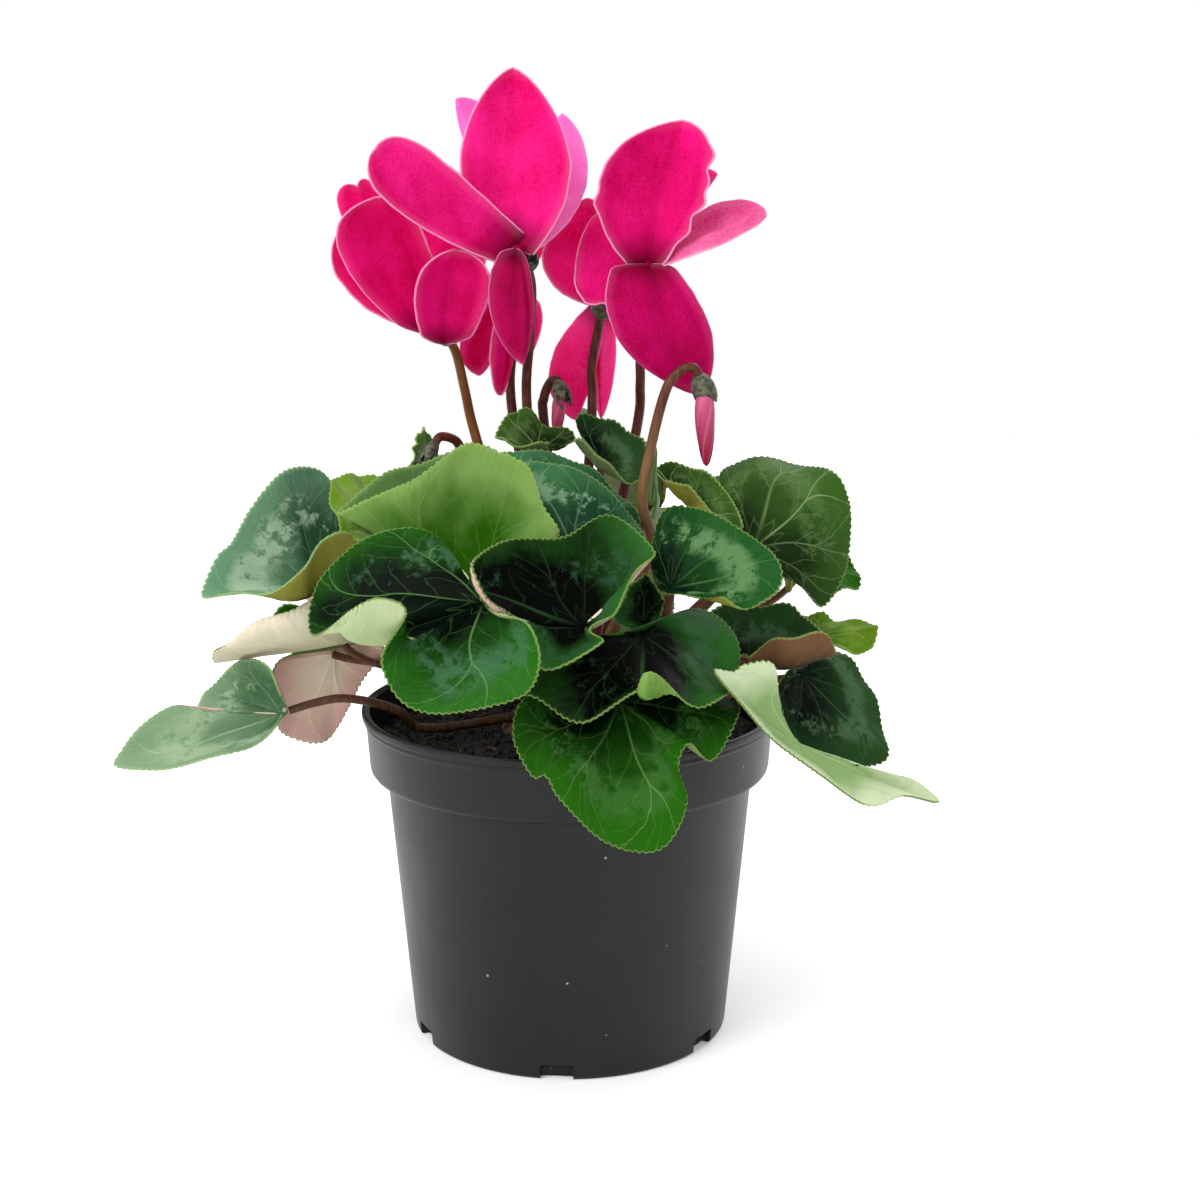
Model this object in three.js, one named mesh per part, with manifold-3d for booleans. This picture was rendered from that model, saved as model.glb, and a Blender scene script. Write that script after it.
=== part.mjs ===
// A cyclamen in flower in a plastic nursery pot.
// Millimetres, +Z up, the origin at the centre of the pot's flat underside, -Y the side that is seen first.

import * as THREE from 'three';
import { mergeVertices } from 'three/addons/utils/BufferGeometryUtils.js';
import Module from 'manifold-3d';

const wasm = await Module();
wasm.setup();

// Pot: a 130 mm nursery pot, 104 mm tall
const RIM_RADIUS = 65;
const POT_HEIGHT = 104;
const COLLAR_HEIGHT = 19.8;
const COLLAR_FOOT_RADIUS = 62.6;
const COLLAR_FOOT_CHAMFER = [1, 1.5];
const BODY_TOP_RADIUS = 57.6;
const FOOT_RADIUS = 50;
const WALL = 1.5;
const FLOOR = 2.4;
const LIP_HEIGHT = 3;
const LIP_STEP = 0.9;
const LIP_CHAMFER = 0.5;
const POT_SEGMENTS = 32;

// Drainage slots through the corner of wall and floor, the first one just left of the front
const SLOT_COUNT = 6;
const SLOT_WIDTH = 10;
const SLOT_HEIGHT = 5;
const SLOT_DEPTH = 9;
const SLOT_FIRST_ANGLE = THREE.MathUtils.degToRad(-94);

// Soil: filled to a little under the rim, higher round the tuber, with a crumbly top
const SOIL_EDGE_HEIGHT = 93;
const SOIL_CROWN_RISE = 4;
const SOIL_CRUMB = 1.1;
const SOIL_RINGS = 4;
const SOIL_SECTORS = 18;
const SOIL_SEED = 7;
const SOIL_WALL_CLEARANCE = 0.6;

// Tuber: a flattened ball, half sunk in the soil
const TUBER_RADIUS = 23;
const TUBER_HALF_HEIGHT = 15;
const TUBER_CENTRE_HEIGHT = 92;
const TUBER_FACES = [16, 8];

// Leaves and petals
const BLADE_THICKNESS = 0.8;
const PETAL_THICKNESS = 0.7;
const TOOTH_DEPTH = 0.03;
const MARGIN_WAVE = 0.9;
const MARGIN_WAVES = 7;
const NOTCH_DEPTH = 0.3;
const NOTCH_LENGTH = 3;
const SPOKE_PULL = 0.5;
const BLADE_RINGS = [0.42, 0.76];
const PETAL_ROWS = [0, 0.28, 0.56, 0.84, 1];
const PETAL_COLUMNS = 4;
const PETAL_WIDEST = 0.62;
const PETAL_BASE_WIDTH = 0.3;
const PETAL_BASE_REACH = 1.4;
const PETAL_CUP = 0.12;
const PETAL_BOW = 0.06;
const THROAT_RADIUS = 3.2;
const THROAT_FACES = [8, 5];

// Stalks
const LEAF_STALK_RADIUS = 1.5;
const FLOWER_STALK_RADIUS = 1.6;
const STALK_SIDES = 5;
const LEAF_STALK_STEPS = 4;
const FLOWER_STALK_STEPS = 8;
const LEAF_ROOT_RING = 12.5;
const LEAF_ROOT_DEPTH = 3;
const LEAF_ROOT_SLOPE = 1.2;
const LEAF_STALK_RISE = 0.35;
const LEAF_STALK_APPROACH = 0.25;
const FLOWER_ROOT_DEPTH = 2;
const FLOWER_STALK_KNEE = { up: 0.45, out: 0.35 };

// Calyx and bud
const CALYX_RADIUS = 3.6;
const CALYX_LENGTH = 4;
const BUD_CALYX_MARGIN = 0.4;
const BUD_CALYX_LENGTH = 6;
const CALYX_PROFILE = [[0, -0.35], [0.5, -0.3], [1, 0.25], [0.9, 1], [0, 0.5]];
const SEPAL_CUT = 0.6;
const BUD_PROFILE = [[0, 0], [0.55, 0], [0.95, 0.25], [0.9, 0.5], [0.55, 0.78], [0, 1]];
const BUD_RIDGE = 0.1;
const BUD_TWIST = 2.2;
const PETALS = 5;

// Clear distance between pieces that touch
const GAP = 0.3;

// A leaf has the joint with its stalk, its tip, how far it domes up, and the points of its margin from
// the tip down both sides to the stalk. A point may also give how far out its spoke bends, as a part of
// the spoke, and how far the bend is moved.
const LEAVES = [
  {
    name: 'leaf_01',
    joint: [-23, -36, 147],
    tip: [-65, -46, 172],
    dome: 0,
    left: [
      [-46, -52, 181, 0.9], [-35, -50, 188, 0.9], [-25, -46, 192, 0.8], [-13, -44, 187],
      [-7, -46, 176], [-2, -48, 166],
    ],
    right: [
      [-56, -38, 180], [-47, -30, 183], [-36, -22, 186], [-23, -16, 187], [-16, -14, 180],
      [-11, -16, 168],
    ],
  },
  {
    name: 'leaf_02',
    joint: [-22, -76, 152],
    tip: [-28, -98, 127],
    dome: 4,
    left: [[-11, -98, 131], [-6, -101, 142], [-9, -99, 151], [-19, -87, 152], [-25, -72, 158]],
    right: [
      [-42, -96, 129], [-48, -93, 140], [-41, -99, 155, 0.6, -14, 4, -14],
      [-47, -100, 158, 0.5, -21, 6, -20], [-56, -95, 154, 0.5, -30, 6, -17], [-70, -70, 142],
      [-69, -62, 154], [-59, -62, 166], [-46, -63, 170], [-35, -63, 168],
    ],
  },
  {
    name: 'leaf_03',
    joint: [5, -79, 146],
    tip: [-24, -91, 166, 0.9],
    dome: -3,
    left: [[-21, -94, 159, 0.9], [-13, -85, 149, 0.7], [-5, -93, 138], [10, -90, 144]],
    right: [
      [-17, -76, 169], [-1, -66, 169], [12, -57, 173], [25, -64, 165], [19, -70, 159], [14, -79, 150],
    ],
  },
  {
    name: 'leaf_04',
    joint: [29, -62, 153],
    tip: [59, -76, 161],
    dome: 4,
    rootAngle: -42,
    left: [[54, -66, 167], [42, -56, 173], [33, -50, 175], [26, -51, 171], [24, -55, 161]],
    right: [[55, -82, 154], [48, -82, 152], [42, -78, 154], [34, -72, 153]],
  },
  {
    name: 'leaf_05',
    joint: [21, -70, 142],
    tip: [22, -105, 140, 1.5],
    dome: 3,
    left: [[32, -97, 130, 0.9], [40, -92, 128], [46, -77, 129], [48, -66, 138], [38, -57, 147]],
    right: [
      [18, -101, 133, 0.9], [6, -95, 124], [-5, -91, 127], [-11, -86, 131], [-5, -78, 138],
      [9, -74, 141],
    ],
  },
  {
    name: 'leaf_06',
    joint: [15, -78, 125],
    tip: [26, -94, 88],
    dome: 3,
    left: [
      [33, -93, 100], [31, -89, 110], [34, -86, 115], [40, -87, 111], [46, -81, 118], [47, -73, 124],
      [32, -70, 126],
    ],
    right: [
      [11, -94, 90], [-1, -93, 101], [-5, -92, 108], [-9, -90, 107], [-14, -88, 118], [-11, -82, 127],
      [3, -74, 127],
    ],
  },
  {
    name: 'leaf_07',
    joint: [54, -38, 160],
    tip: [81, -20, 178],
    dome: 4,
    left: [[69, -8, 181, 0.8], [53, -8, 182, 0.8], [45, -16, 176]],
    right: [[84, -22, 167], [82, -32, 153], [74, -42, 144], [65, -44, 152]],
  },
  {
    name: 'leaf_08',
    joint: [-73, -26, 146],
    tip: [-105, -44, 147],
    dome: 4,
    left: [
      [-93, -48, 149], [-82, -52, 151, 0.9], [-74, -54, 157, 0.9], [-69, -50, 165, 0.9],
      [-62, -44, 165, 0.9], [-61, -34, 155, 0.9],
    ],
    right: [
      [-102, -40, 157], [-98, -36, 161], [-93, -27, 171], [-84, -18, 180], [-75, -10, 180],
      [-69, -8, 168], [-68, -12, 157],
    ],
  },
  {
    name: 'leaf_09',
    joint: [-69, -12, 126],
    tip: [-104, -36, 126],
    dome: 0,
    left: [
      [-101, -42, 132, 0.9], [-92, -46, 138, 1.0], [-80, -44, 144, 1.1], [-70, -38, 145, 1],
      [-65, -28, 138],
    ],
    right: [[-99, -24, 129], [-93, -14, 133], [-87, -10, 137], [-77, -4, 135], [-69, -4, 131]],
  },
  {
    name: 'leaf_10',
    joint: [-73, -6, 121],
    tip: [-82, -14, 95],
    dome: 3,
    left: [[-89, -17, 100], [-90, -21, 112], [-89, -20, 121], [-82, -13, 123]],
    right: [[-74, -10, 95], [-69, -6, 104], [-62, -6, 115], [-57, -6, 123], [-63, -4, 125]],
  },
  {
    name: 'leaf_11',
    joint: [-85, -32, 109],
    tip: [-132, -48, 98],
    dome: 3,
    notch: 1.5,
    stalkEnd: [-83, -32, 110],
    stalkPath: [[-43, -16, 100], [-51, -22, 107], [-59, -26, 111], [-68, -29, 113], [-76, -31, 112]],
    left: [[-121, -50, 97], [-106, -50, 100], [-94, -46, 102], [-86, -40, 107]],
    right: [
      [-128, -44, 105], [-117, -38, 113], [-110, -35, 112], [-110, -20, 113], [-105, -20, 118],
      [-94, -36, 127], [-87, -42, 126, 0.8], [-84, -40, 117, 0.8],
    ],
  },
  {
    name: 'leaf_12',
    joint: [-59, -18, 161],
    tip: [-72, -10, 176],
    dome: 3,
    left: [[-70, -22, 170], [-65, -32, 163], [-56, -34, 160]],
    right: [[-67, 2, 176], [-61, 10, 174], [-54, 8, 167]],
  },
  {
    name: 'leaf_13',
    joint: [-9, -3, 184],
    tip: [-18, 2, 195],
    dome: 2,
    rootAngle: 160,
    left: [[-22, -6, 190], [-19, -12, 188], [-11, -13, 187], [-6, -9, 188]],
    right: [[-13, 5, 196], [-6, 4, 191], [2, 2, 189], [0, 0, 185]],
  },
  {
    name: 'leaf_14',
    joint: [10, 1, 179],
    tip: [20, -11, 175],
    dome: 2,
    rootAngle: 70,
    left: [[24, -6, 179], [23, 1, 187], [16, 5, 191], [9, 6, 194], [2, 5, 193]],
    right: [[13, -11, 180, 0.8], [7, -10, 186, 0.8], [2, -5, 188]],
  },
  {
    name: 'leaf_15',
    joint: [-46, 22, 173],
    tip: [-46, 18, 189],
    dome: 1,
    left: [[-48, 14, 185], [-49, 14, 182], [-50, 14, 174]],
    right: [[-44, 22, 184], [-42, 26, 177]],
  },
  {
    name: 'leaf_16',
    joint: [1, -28, 167],
    tip: [-19, -20, 186],
    dome: 2,
    left: [[-15, -23, 183], [-8, -28, 173], [-2, -31, 164]],
    right: [[-10, -17, 186], [2, -15, 183], [10, -15, 178], [17, -17, 171], [22, -19, 165], [18, -26, 159]],
  },
  {
    name: 'leaf_17',
    joint: [2, -43, 161],
    tip: [-11, -27, 184],
    dome: 2,
    left: [[-11, -29, 176], [-9, -31, 164], [-5, -34, 157]],
    right: [[-2, -27, 183], [7, -27, 180], [15, -30, 173], [21, -35, 166], [23, -40, 161], [15, -46, 156]],
  },
  {
    name: 'leaf_18',
    joint: [36, -24, 170],
    tip: [50, -50, 169],
    dome: 3,
    left: [[46, -34, 177], [40, -24, 181], [33, -16, 182], [26, -12, 180]],
    right: [[44, -46, 170], [39, -34, 174], [34, -28, 178], [29, -22, 177]],
  },
  {
    name: 'leaf_19',
    joint: [52, -54, 131],
    tip: [76, -60, 135],
    dome: 0,
    left: [[69, -46, 142], [65, -42, 144], [56, -42, 145], [45, -46, 145], [37, -54, 143], [38, -58, 138]],
    right: [[72, -72, 142, 0.9], [64, -74, 143, 0.9], [57, -70, 140, 0.9], [51, -64, 135]],
  },
  {
    name: 'leaf_20',
    joint: [68, -44, 124],
    tip: [92, -44, 97],
    dome: 4,
    left: [[94, -38, 104], [91, -34, 114], [87, -32, 122], [80, -32, 128], [72, -34, 128]],
    right: [[76, -54, 101], [64, -58, 109], [60, -58, 119], [62, -52, 126]],
  },
  {
    name: 'leaf_21',
    joint: [64, -70, 111],
    tip: [109, -46, 86],
    dome: 0,
    notch: 32.6,
    wave: 0,
    stalkEnd: [51, -76, 127],
    left: [[97, -56, 91], [86, -62, 90], [71, -71, 102], [57, -78, 114], [47, -86, 127], [40, -87, 136]],
    right: [
      [102, -48, 93], [93, -52, 96], [83, -57, 101], [66, -64, 108], [59, -70, 122], [57, -75, 135],
      [49, -79, 136],
    ],
  },
  {
    name: 'leaf_22',
    joint: [75, 12, 122],
    tip: [99, 18, 122],
    dome: 2,
    left: [[98, 22, 125], [88, 24, 125], [81, 22, 128], [74, 20, 127]],
    right: [[96, 14, 117], [88, 8, 119], [79, 4, 123]],
  },
  {
    name: 'leaf_23',
    joint: [77, 52, 136],
    tip: [97, 44, 133],
    dome: 2,
    left: [[95, 52, 139], [90, 62, 143], [80, 66, 143]],
    right: [[89, 38, 132], [80, 40, 131]],
  },
  {
    name: 'leaf_24',
    joint: [22, -46, 140],
    tip: [22, -49, 155],
    dome: 1,
    left: [[16, -52, 149], [13, -54, 143]],
    right: [[26, -50, 151], [28, -48, 145]],
  },
];

// A flower has its stalk root and throat centre, the points that its stalk passes, and its petals
const FLOWERS = [
  {
    name: 'flower_1',
    root: [-3, -1],
    centre: [-15, -11, 244],
    stalk: [[-13, 12, 194], [-12, 8, 217], [-11, 2, 232], [-12, -5, 240]],
    petals: [
      { tip: [-16, -2, 297], left: [-31, -14, 270], right: [1, -10, 269], round: 1.7 },
      { tip: [-53, -36, 273], left: [-46, -34, 255], right: [-35, -24, 270], round: 3.0, foot: 0.6 },
      { tip: [-2, 24, 285], left: [-12, 16, 265], right: [5, 14, 262], round: 1.9 },
      { tip: [-35, 32, 290], left: [-30, 22, 271], right: [-15, 28, 274], round: 1.8 },
      { tip: [-13, -24, 212], left: [-23, -22, 231], right: [-10, -18, 230], round: 2.2 },
    ],
  },
  {
    name: 'flower_2',
    root: [-7.5, 0],
    centre: [-37, -6, 221],
    stalk: [[-29, 12, 186], [-32, 8, 201], [-34, 4, 212], [-36, -1, 218]],
    petals: [
      { tip: [-52, -28, 260], left: [-64, -28, 242], right: [-40, -20, 246], round: 2.8, foot: 0.4 },
      { tip: [-32, -21, 245], left: [-44, -24, 234], right: [-23, -16, 233], round: 2.6, foot: 0.55 },
      { tip: [-67, -10, 250], left: [-63, -14, 231], right: [-54, -2, 244], round: 2.6 },
      { tip: [-63, 2, 263], left: [-65, -2, 250], right: [-52, 6, 255], round: 2.4 },
      { tip: [-36, 14, 255], left: [-48, 8, 245], right: [-24, 10, 247], round: 2.6 },
    ],
  },
  {
    name: 'flower_3',
    root: [-4, 4.5],
    centre: [-20, 20, 230],
    stalk: [[-18, 18, 194], [-18, 24, 213], [-18, 27, 223], [-19, 25, 227]],
    petals: [
      { tip: [-29, 13, 206], left: [-33, 14, 218], right: [-23, 12, 213], round: 2.6 },
      { tip: [-21, 6, 200], left: [-24, 2, 214], right: [-17, 10, 213], round: 2.2 },
      { tip: [-12, 14, 212], left: [-16, 12, 223], right: [-9, 16, 227], round: 2.2 },
      { tip: [-13, 44, 253], left: [-20, 38, 245], right: [-7, 44, 246], round: 2.4 },
      { tip: [-20, 42, 251], left: [-22, 38, 243], right: [-12, 42, 243], round: 2.4 },
    ],
  },
  {
    name: 'flower_4',
    root: [6, 4],
    centre: [24, -5, 239],
    stalk: [[21, 12, 189], [22, 8, 203], [22, 6, 215], [24, 4, 232], [24, 0, 236]],
    petals: [
      { tip: [34, -2, 282], left: [9, -12, 263], right: [41, -10, 263], round: 2.9 },
      { tip: [59, -4, 255], left: [45, -12, 246], right: [44, 4, 258], round: 1.8 },
      { tip: [39, -13, 202], left: [13, -18, 223], right: [42, -12, 223], round: 2.1, foot: 0.5 },
      { tip: [2, -2, 237], left: [10, -8, 227], right: [11, 6, 254], round: 2.2 },
      { tip: [46, 28, 267], left: [39, 18, 257], right: [31, 24, 263], round: 2.2 },
    ],
  },
  {
    name: 'flower_5',
    root: [2, 2.5],
    centre: [11, 26, 227],
    stalk: [[7, 16, 192], [7, 20, 207], [9, 22, 219], [10, 21, 224]],
    petals: [
      { tip: [-2, 30, 252], left: [-7, 26, 235], right: [10, 32, 255], round: 3.0 },
      { tip: [2, 26, 190], left: [-6, 26, 209], right: [11, 32, 214], round: 2.4 },
      { tip: [10, 32, 190], left: [7, 38, 208], right: [15, 33, 213], round: 2.2 },
      { tip: [22, 38, 248], left: [11, 36, 244], right: [27, 38, 238], round: 2.4 },
      { tip: [24, 34, 218], left: [17, 30, 216], right: [24, 36, 229], round: 2.4 },
    ],
  },
];

const BUDS = [
  {
    name: 'bud_1',
    root: [5.5, -3],
    radius: 3.0,
    base: [40, -22, 206],
    tip: [41, -23, 182],
    stalk: [
      [25, -14, 154], [22, -24, 172], [25, -24, 190], [29, -24, 205], [33, -23, 210], [37, -23, 211],
      [39, -22, 207],
    ],
  },
  {
    name: 'bud_2',
    root: [0.5, 7],
    radius: 2.2,
    base: [-3, 13, 200],
    tip: [-4, 12, 186],
    stalk: [[-8, 18, 190], [-8, 18, 198], [-6, 17, 203], [-4, 15, 204], [-3, 13, 202]],
  },
  {
    name: 'bud_3',
    root: [-8, 5],
    radius: 1.7,
    base: [-42, 6, 183],
    tip: [-43, 6, 174],
    stalk: [[-32, 14, 176], [-34, 12, 183], [-36, 10, 186], [-40, 8, 187], [-42, 6, 184]],
  },
];

// Leaves on the far side have the shapes of leaves in front, turned round the pot and lowered
const FAR_LEAVES = [
  { like: 'leaf_04', turn: 180, drop: 4 },
  { like: 'leaf_02', turn: 192, drop: 16 },
  { like: 'leaf_05', turn: 212, drop: 12 },
  { like: 'leaf_08', turn: -84, drop: 10 },
  { like: 'leaf_07', turn: 60, drop: 13 },
  { like: 'leaf_06', turn: 165, drop: 0 },
  { like: 'leaf_20', turn: 80, drop: 16 },
  { like: 'leaf_07', turn: 100, drop: -8 },
  { like: 'leaf_03', turn: 250, drop: 8 },
  { like: 'leaf_16', turn: 170, drop: 32 },
  { like: 'leaf_20', turn: 190, drop: 8 },
  { like: 'leaf_20', turn: 140, drop: 16 },
  { like: 'leaf_12', turn: 170, drop: 16 },
  { like: 'leaf_17', turn: 140, drop: 0 },
  { like: 'leaf_04', turn: 150, drop: 8 },
];

const vec = (p) => new THREE.Vector3(p[0], p[1], p[2]);
const UP = new THREE.Vector3(0, 0, 1);

function farLeaf({ like, turn, drop }, order) {
  const model = LEAVES.find((leaf) => leaf.name === like);
  const angle = THREE.MathUtils.degToRad(turn);
  const turned = (p) => vec(p).applyAxisAngle(UP, angle).toArray();
  const moved = (p) => {
    const [x, y, z] = turned(p);
    const bend = p.length > 4 ? turned(p.slice(4)) : [];
    return [x, y, z - drop, ...p.slice(3, 4), ...bend];
  };
  return {
    name: `leaf_${LEAVES.length + order + 1}`,
    joint: moved(model.joint),
    tip: moved(model.tip),
    dome: model.dome,
    notch: model.notch,
    wave: model.wave,
    left: model.left.map(moved),
    right: model.right.map(moved),
  };
}

const ALL_LEAVES = [...LEAVES, ...FAR_LEAVES.map(farLeaf)];

// Booleans

function toSolid(geometry) {
  const plain = geometry.clone();
  plain.deleteAttribute('normal');
  plain.deleteAttribute('uv');
  const merged = mergeVertices(plain, 1e-4);
  const mesh = new wasm.Mesh({
    numProp: 3,
    vertProperties: merged.attributes.position.array,
    triVerts: new Uint32Array(merged.index.array),
  });
  mesh.merge();
  return new wasm.Manifold(mesh);
}

function toGeometry(solid) {
  const mesh = solid.getMesh();
  const geometry = new THREE.BufferGeometry();
  geometry.setAttribute('position', new THREE.BufferAttribute(mesh.vertProperties, 3));
  geometry.setIndex(new THREE.BufferAttribute(mesh.triVerts, 1));
  return geometry;
}

function largestPiece(solid) {
  const pieces = solid.decompose();
  pieces.sort((first, second) => second.volume() - first.volume());
  return pieces[0];
}

// Closed thin sheet: a middle surface of points and triangles, given a thickness on both sides
// and a wall round its edge loop; both faces are split into triangles alike.

function thickSheet(points, triangles, edgeLoop, thickness) {
  const normals = points.map(() => new THREE.Vector3());
  for (const [a, b, c] of triangles) {
    const first = points[b].clone().sub(points[a]);
    const second = points[c].clone().sub(points[a]);
    const normal = first.cross(second);
    for (const corner of [a, b, c]) {
      normals[corner].add(normal);
    }
  }
  const count = points.length;
  const positions = [];
  for (const side of [0.5, -0.5]) {
    points.forEach((point, i) => {
      const offset = normals[i].clone().normalize().multiplyScalar(side * thickness);
      const vertex = point.clone().add(offset);
      positions.push(vertex.x, vertex.y, vertex.z);
    });
  }
  const index = [];
  for (const [a, b, c] of triangles) {
    index.push(a, b, c);
    index.push(a + count, c + count, b + count);
  }
  edgeLoop.forEach((a, i) => {
    const b = edgeLoop[(i + 1) % edgeLoop.length];
    index.push(a, a + count, b + count);
    index.push(a, b + count, b);
  });
  const geometry = new THREE.BufferGeometry();
  geometry.setAttribute('position', new THREE.Float32BufferAttribute(positions, 3));
  geometry.setIndex(index);
  return geometry;
}

// Closed smooth curve through the given values, at t counted in points

function loopValue(values, t) {
  const count = values.length;
  const start = Math.floor(t);
  const u = t - start;
  const [p0, p1, p2, p3] = [-1, 0, 1, 2].map((k) => values[(start + k + count) % count]);
  return p1.map((value, i) => {
    const slopeIn = (p2[i] - p0[i]) / 2;
    const slopeOut = (p3[i] - p1[i]) / 2;
    const cubic = 2 * value - 2 * p2[i] + slopeIn + slopeOut;
    const square = -3 * value + 3 * p2[i] - 2 * slopeIn - slopeOut;
    return value + u * (slopeIn + u * (square + u * cubic));
  });
}

// Leaf blade: spokes run from the joint, where they leave in one plane, out to the margin,
// which is a smooth loop through the tip, the two sides and the notch at the stalk.

function bladeLoop(leaf) {
  const joint = vec(leaf.joint);
  const lobes = vec(leaf.left.at(-1)).add(vec(leaf.right.at(-1))).multiplyScalar(0.5);
  const forward = vec(leaf.tip).sub(joint).normalize();
  const back = lobes.clone().sub(joint);
  const depth = leaf.notch ?? Math.max(back.length() * NOTCH_DEPTH, NOTCH_LENGTH);
  const away = back.dot(forward) > 0 ? forward.negate() : back.normalize();
  const notch = joint.clone().addScaledVector(away, depth);
  const corners = [leaf.tip, ...leaf.left, notch.toArray(), ...[...leaf.right].reverse()];
  return corners.map(([x, y, z, pull = SPOKE_PULL, ...bend]) => {
    return [x, y, z, pull, ...(bend.length > 0 ? bend : [0, 0, 0])];
  });
}

function bladeNormal(leaf) {
  const joint = vec(leaf.joint);
  const arms = bladeLoop(leaf).map((p) => vec(p).sub(joint));
  const normal = new THREE.Vector3();
  arms.forEach((arm, i) => {
    normal.add(arm.clone().cross(arms[(i + 1) % arms.length]));
  });
  return normal.normalize();
}

function bladeGeometry(leaf, extra = 0) {
  const loop = bladeLoop(leaf);
  const joint = vec(leaf.joint);
  const normal = bladeNormal(leaf);
  const inner = loop.length;
  const outer = inner * 2;
  const spoke = (turn, reach) => {
    const value = loopValue(loop, (turn / outer) * loop.length);
    const arm = vec(value).sub(joint);
    const span = arm.length();
    const height = leaf.wave ?? MARGIN_WAVE;
    const wave = height * Math.sin((MARGIN_WAVES * 2 * Math.PI * turn) / outer);
    arm.addScaledVector(normal, wave);
    arm.multiplyScalar(1 - (turn % 2) * TOOTH_DEPTH + extra / span);
    const flat = arm.clone().projectOnPlane(normal);
    const bend = joint.clone().addScaledVector(flat, value[3]).addScaledVector(normal, leaf.dome);
    bend.add(vec(value.slice(4)));
    const margin = joint.clone().add(arm);
    const rest = 1 - reach;
    return joint
      .clone()
      .multiplyScalar(rest * rest)
      .addScaledVector(bend, 2 * rest * reach)
      .addScaledVector(margin, reach * reach);
  };
  const points = [joint];
  for (const reach of BLADE_RINGS) {
    for (let i = 0; i < inner; i += 1) {
      points.push(spoke(i * 2, reach));
    }
  }
  for (let i = 0; i < outer; i += 1) {
    points.push(spoke(i, 1));
  }
  const ring = (k, i) => 1 + k * inner + (i % inner);
  const rim = (i) => 1 + BLADE_RINGS.length * inner + (i % outer);
  const triangles = [];
  for (let i = 0; i < inner; i += 1) {
    triangles.push([0, ring(0, i), ring(0, i + 1)]);
    triangles.push([ring(0, i), ring(1, i), ring(1, i + 1)]);
    triangles.push([ring(0, i), ring(1, i + 1), ring(0, i + 1)]);
    triangles.push([ring(1, i), rim(2 * i), rim(2 * i + 1)]);
    triangles.push([ring(1, i), rim(2 * i + 1), ring(1, i + 1)]);
    triangles.push([ring(1, i + 1), rim(2 * i + 1), rim(2 * i + 2)]);
  }
  const edge = Array.from({ length: outer }, (_, i) => rim(i));
  return thickSheet(points, triangles, edge, BLADE_THICKNESS + 2 * extra);
}

// Petal: rows across a bowed centre line from base to tip, as wide as its two widest points

function petalProfile(s, petal) {
  if (s < PETAL_WIDEST) {
    const foot = petal.foot ?? PETAL_BASE_WIDTH;
    const rise = Math.sin(((s / PETAL_WIDEST) * Math.PI) / 2);
    return foot + (1 - foot) * rise;
  }
  const fall = (s - PETAL_WIDEST) / (1 - PETAL_WIDEST);
  return Math.sqrt(Math.max(0, 1 - fall ** petal.round));
}

function petalGeometry(petal, centre, extra = 0) {
  const [tip, left, right] = [petal.tip, petal.left, petal.right].map(vec);
  const base = centre.clone().add(tip.clone().sub(centre).setLength(PETAL_BASE_REACH));
  const across = right.clone().sub(left);
  const along = tip.clone().sub(base);
  const normal = across.clone().cross(along).normalize();
  const middle = base.clone().lerp(tip, PETAL_WIDEST);
  const arms = [left.clone().sub(middle), right.clone().sub(middle)];
  const cup = across.length() * PETAL_CUP;
  const bow = along.length() * PETAL_BOW;
  const points = [];
  const rows = PETAL_ROWS.length - 1;
  PETAL_ROWS.slice(0, rows).forEach((s) => {
    const profile = petalProfile(s, petal);
    for (let column = 0; column <= PETAL_COLUMNS; column += 1) {
      const v = (2 * column) / PETAL_COLUMNS - 1;
      const arm = v < 0 ? arms[0] : arms[1];
      const width = Math.abs(v) * (profile + extra / arm.length());
      const rise = cup * v * v * profile - bow * 4 * s * (1 - s);
      const point = base.clone().lerp(tip, s).addScaledVector(arm, width).addScaledVector(normal, rise);
      points.push(point);
    }
  });
  points.push(tip.clone().addScaledVector(along.clone().normalize(), extra));
  const cell = (row, column) => row * (PETAL_COLUMNS + 1) + column;
  const last = points.length - 1;
  const triangles = [];
  for (let row = 0; row < rows; row += 1) {
    for (let column = 0; column < PETAL_COLUMNS; column += 1) {
      if (row === rows - 1) {
        triangles.push([cell(row, column), cell(row, column + 1), last]);
      } else {
        const [a, b] = [cell(row, column), cell(row, column + 1)];
        const [c, d] = [cell(row + 1, column + 1), cell(row + 1, column)];
        const leftHalf = column < PETAL_COLUMNS / 2;
        triangles.push(...(leftHalf ? [[a, b, c], [a, c, d]] : [[a, b, d], [b, c, d]]));
      }
    }
  }
  const edge = [];
  for (let column = 0; column <= PETAL_COLUMNS; column += 1) {
    edge.push(cell(0, column));
  }
  for (let row = 1; row < rows; row += 1) {
    edge.push(cell(row, PETAL_COLUMNS));
  }
  edge.push(last);
  for (let row = rows - 1; row > 0; row -= 1) {
    edge.push(cell(row, 0));
  }
  return thickSheet(points, triangles, edge, PETAL_THICKNESS + 2 * extra);
}

// Round stalk along a curve

function stalkGeometry(curve, radius, steps) {
  const corners = Array.from({ length: STALK_SIDES }, (_, i) => {
    const angle = (i * 2 * Math.PI) / STALK_SIDES;
    return new THREE.Vector2(radius * Math.cos(angle), radius * Math.sin(angle));
  });
  const section = new THREE.Shape(corners);
  return new THREE.ExtrudeGeometry(section, {
    extrudePath: curve,
    steps,
    bevelEnabled: false,
  });
}

function ballGeometry(centre, radius, halfHeight, [across, down]) {
  const ball = new THREE.SphereGeometry(radius, across, down);
  ball.rotateX(Math.PI / 2);
  ball.scale(1, 1, halfHeight / radius);
  ball.translate(centre.x, centre.y, centre.z);
  return ball;
}

const tuberCentre = new THREE.Vector3(0, 0, TUBER_CENTRE_HEIGHT);

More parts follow.
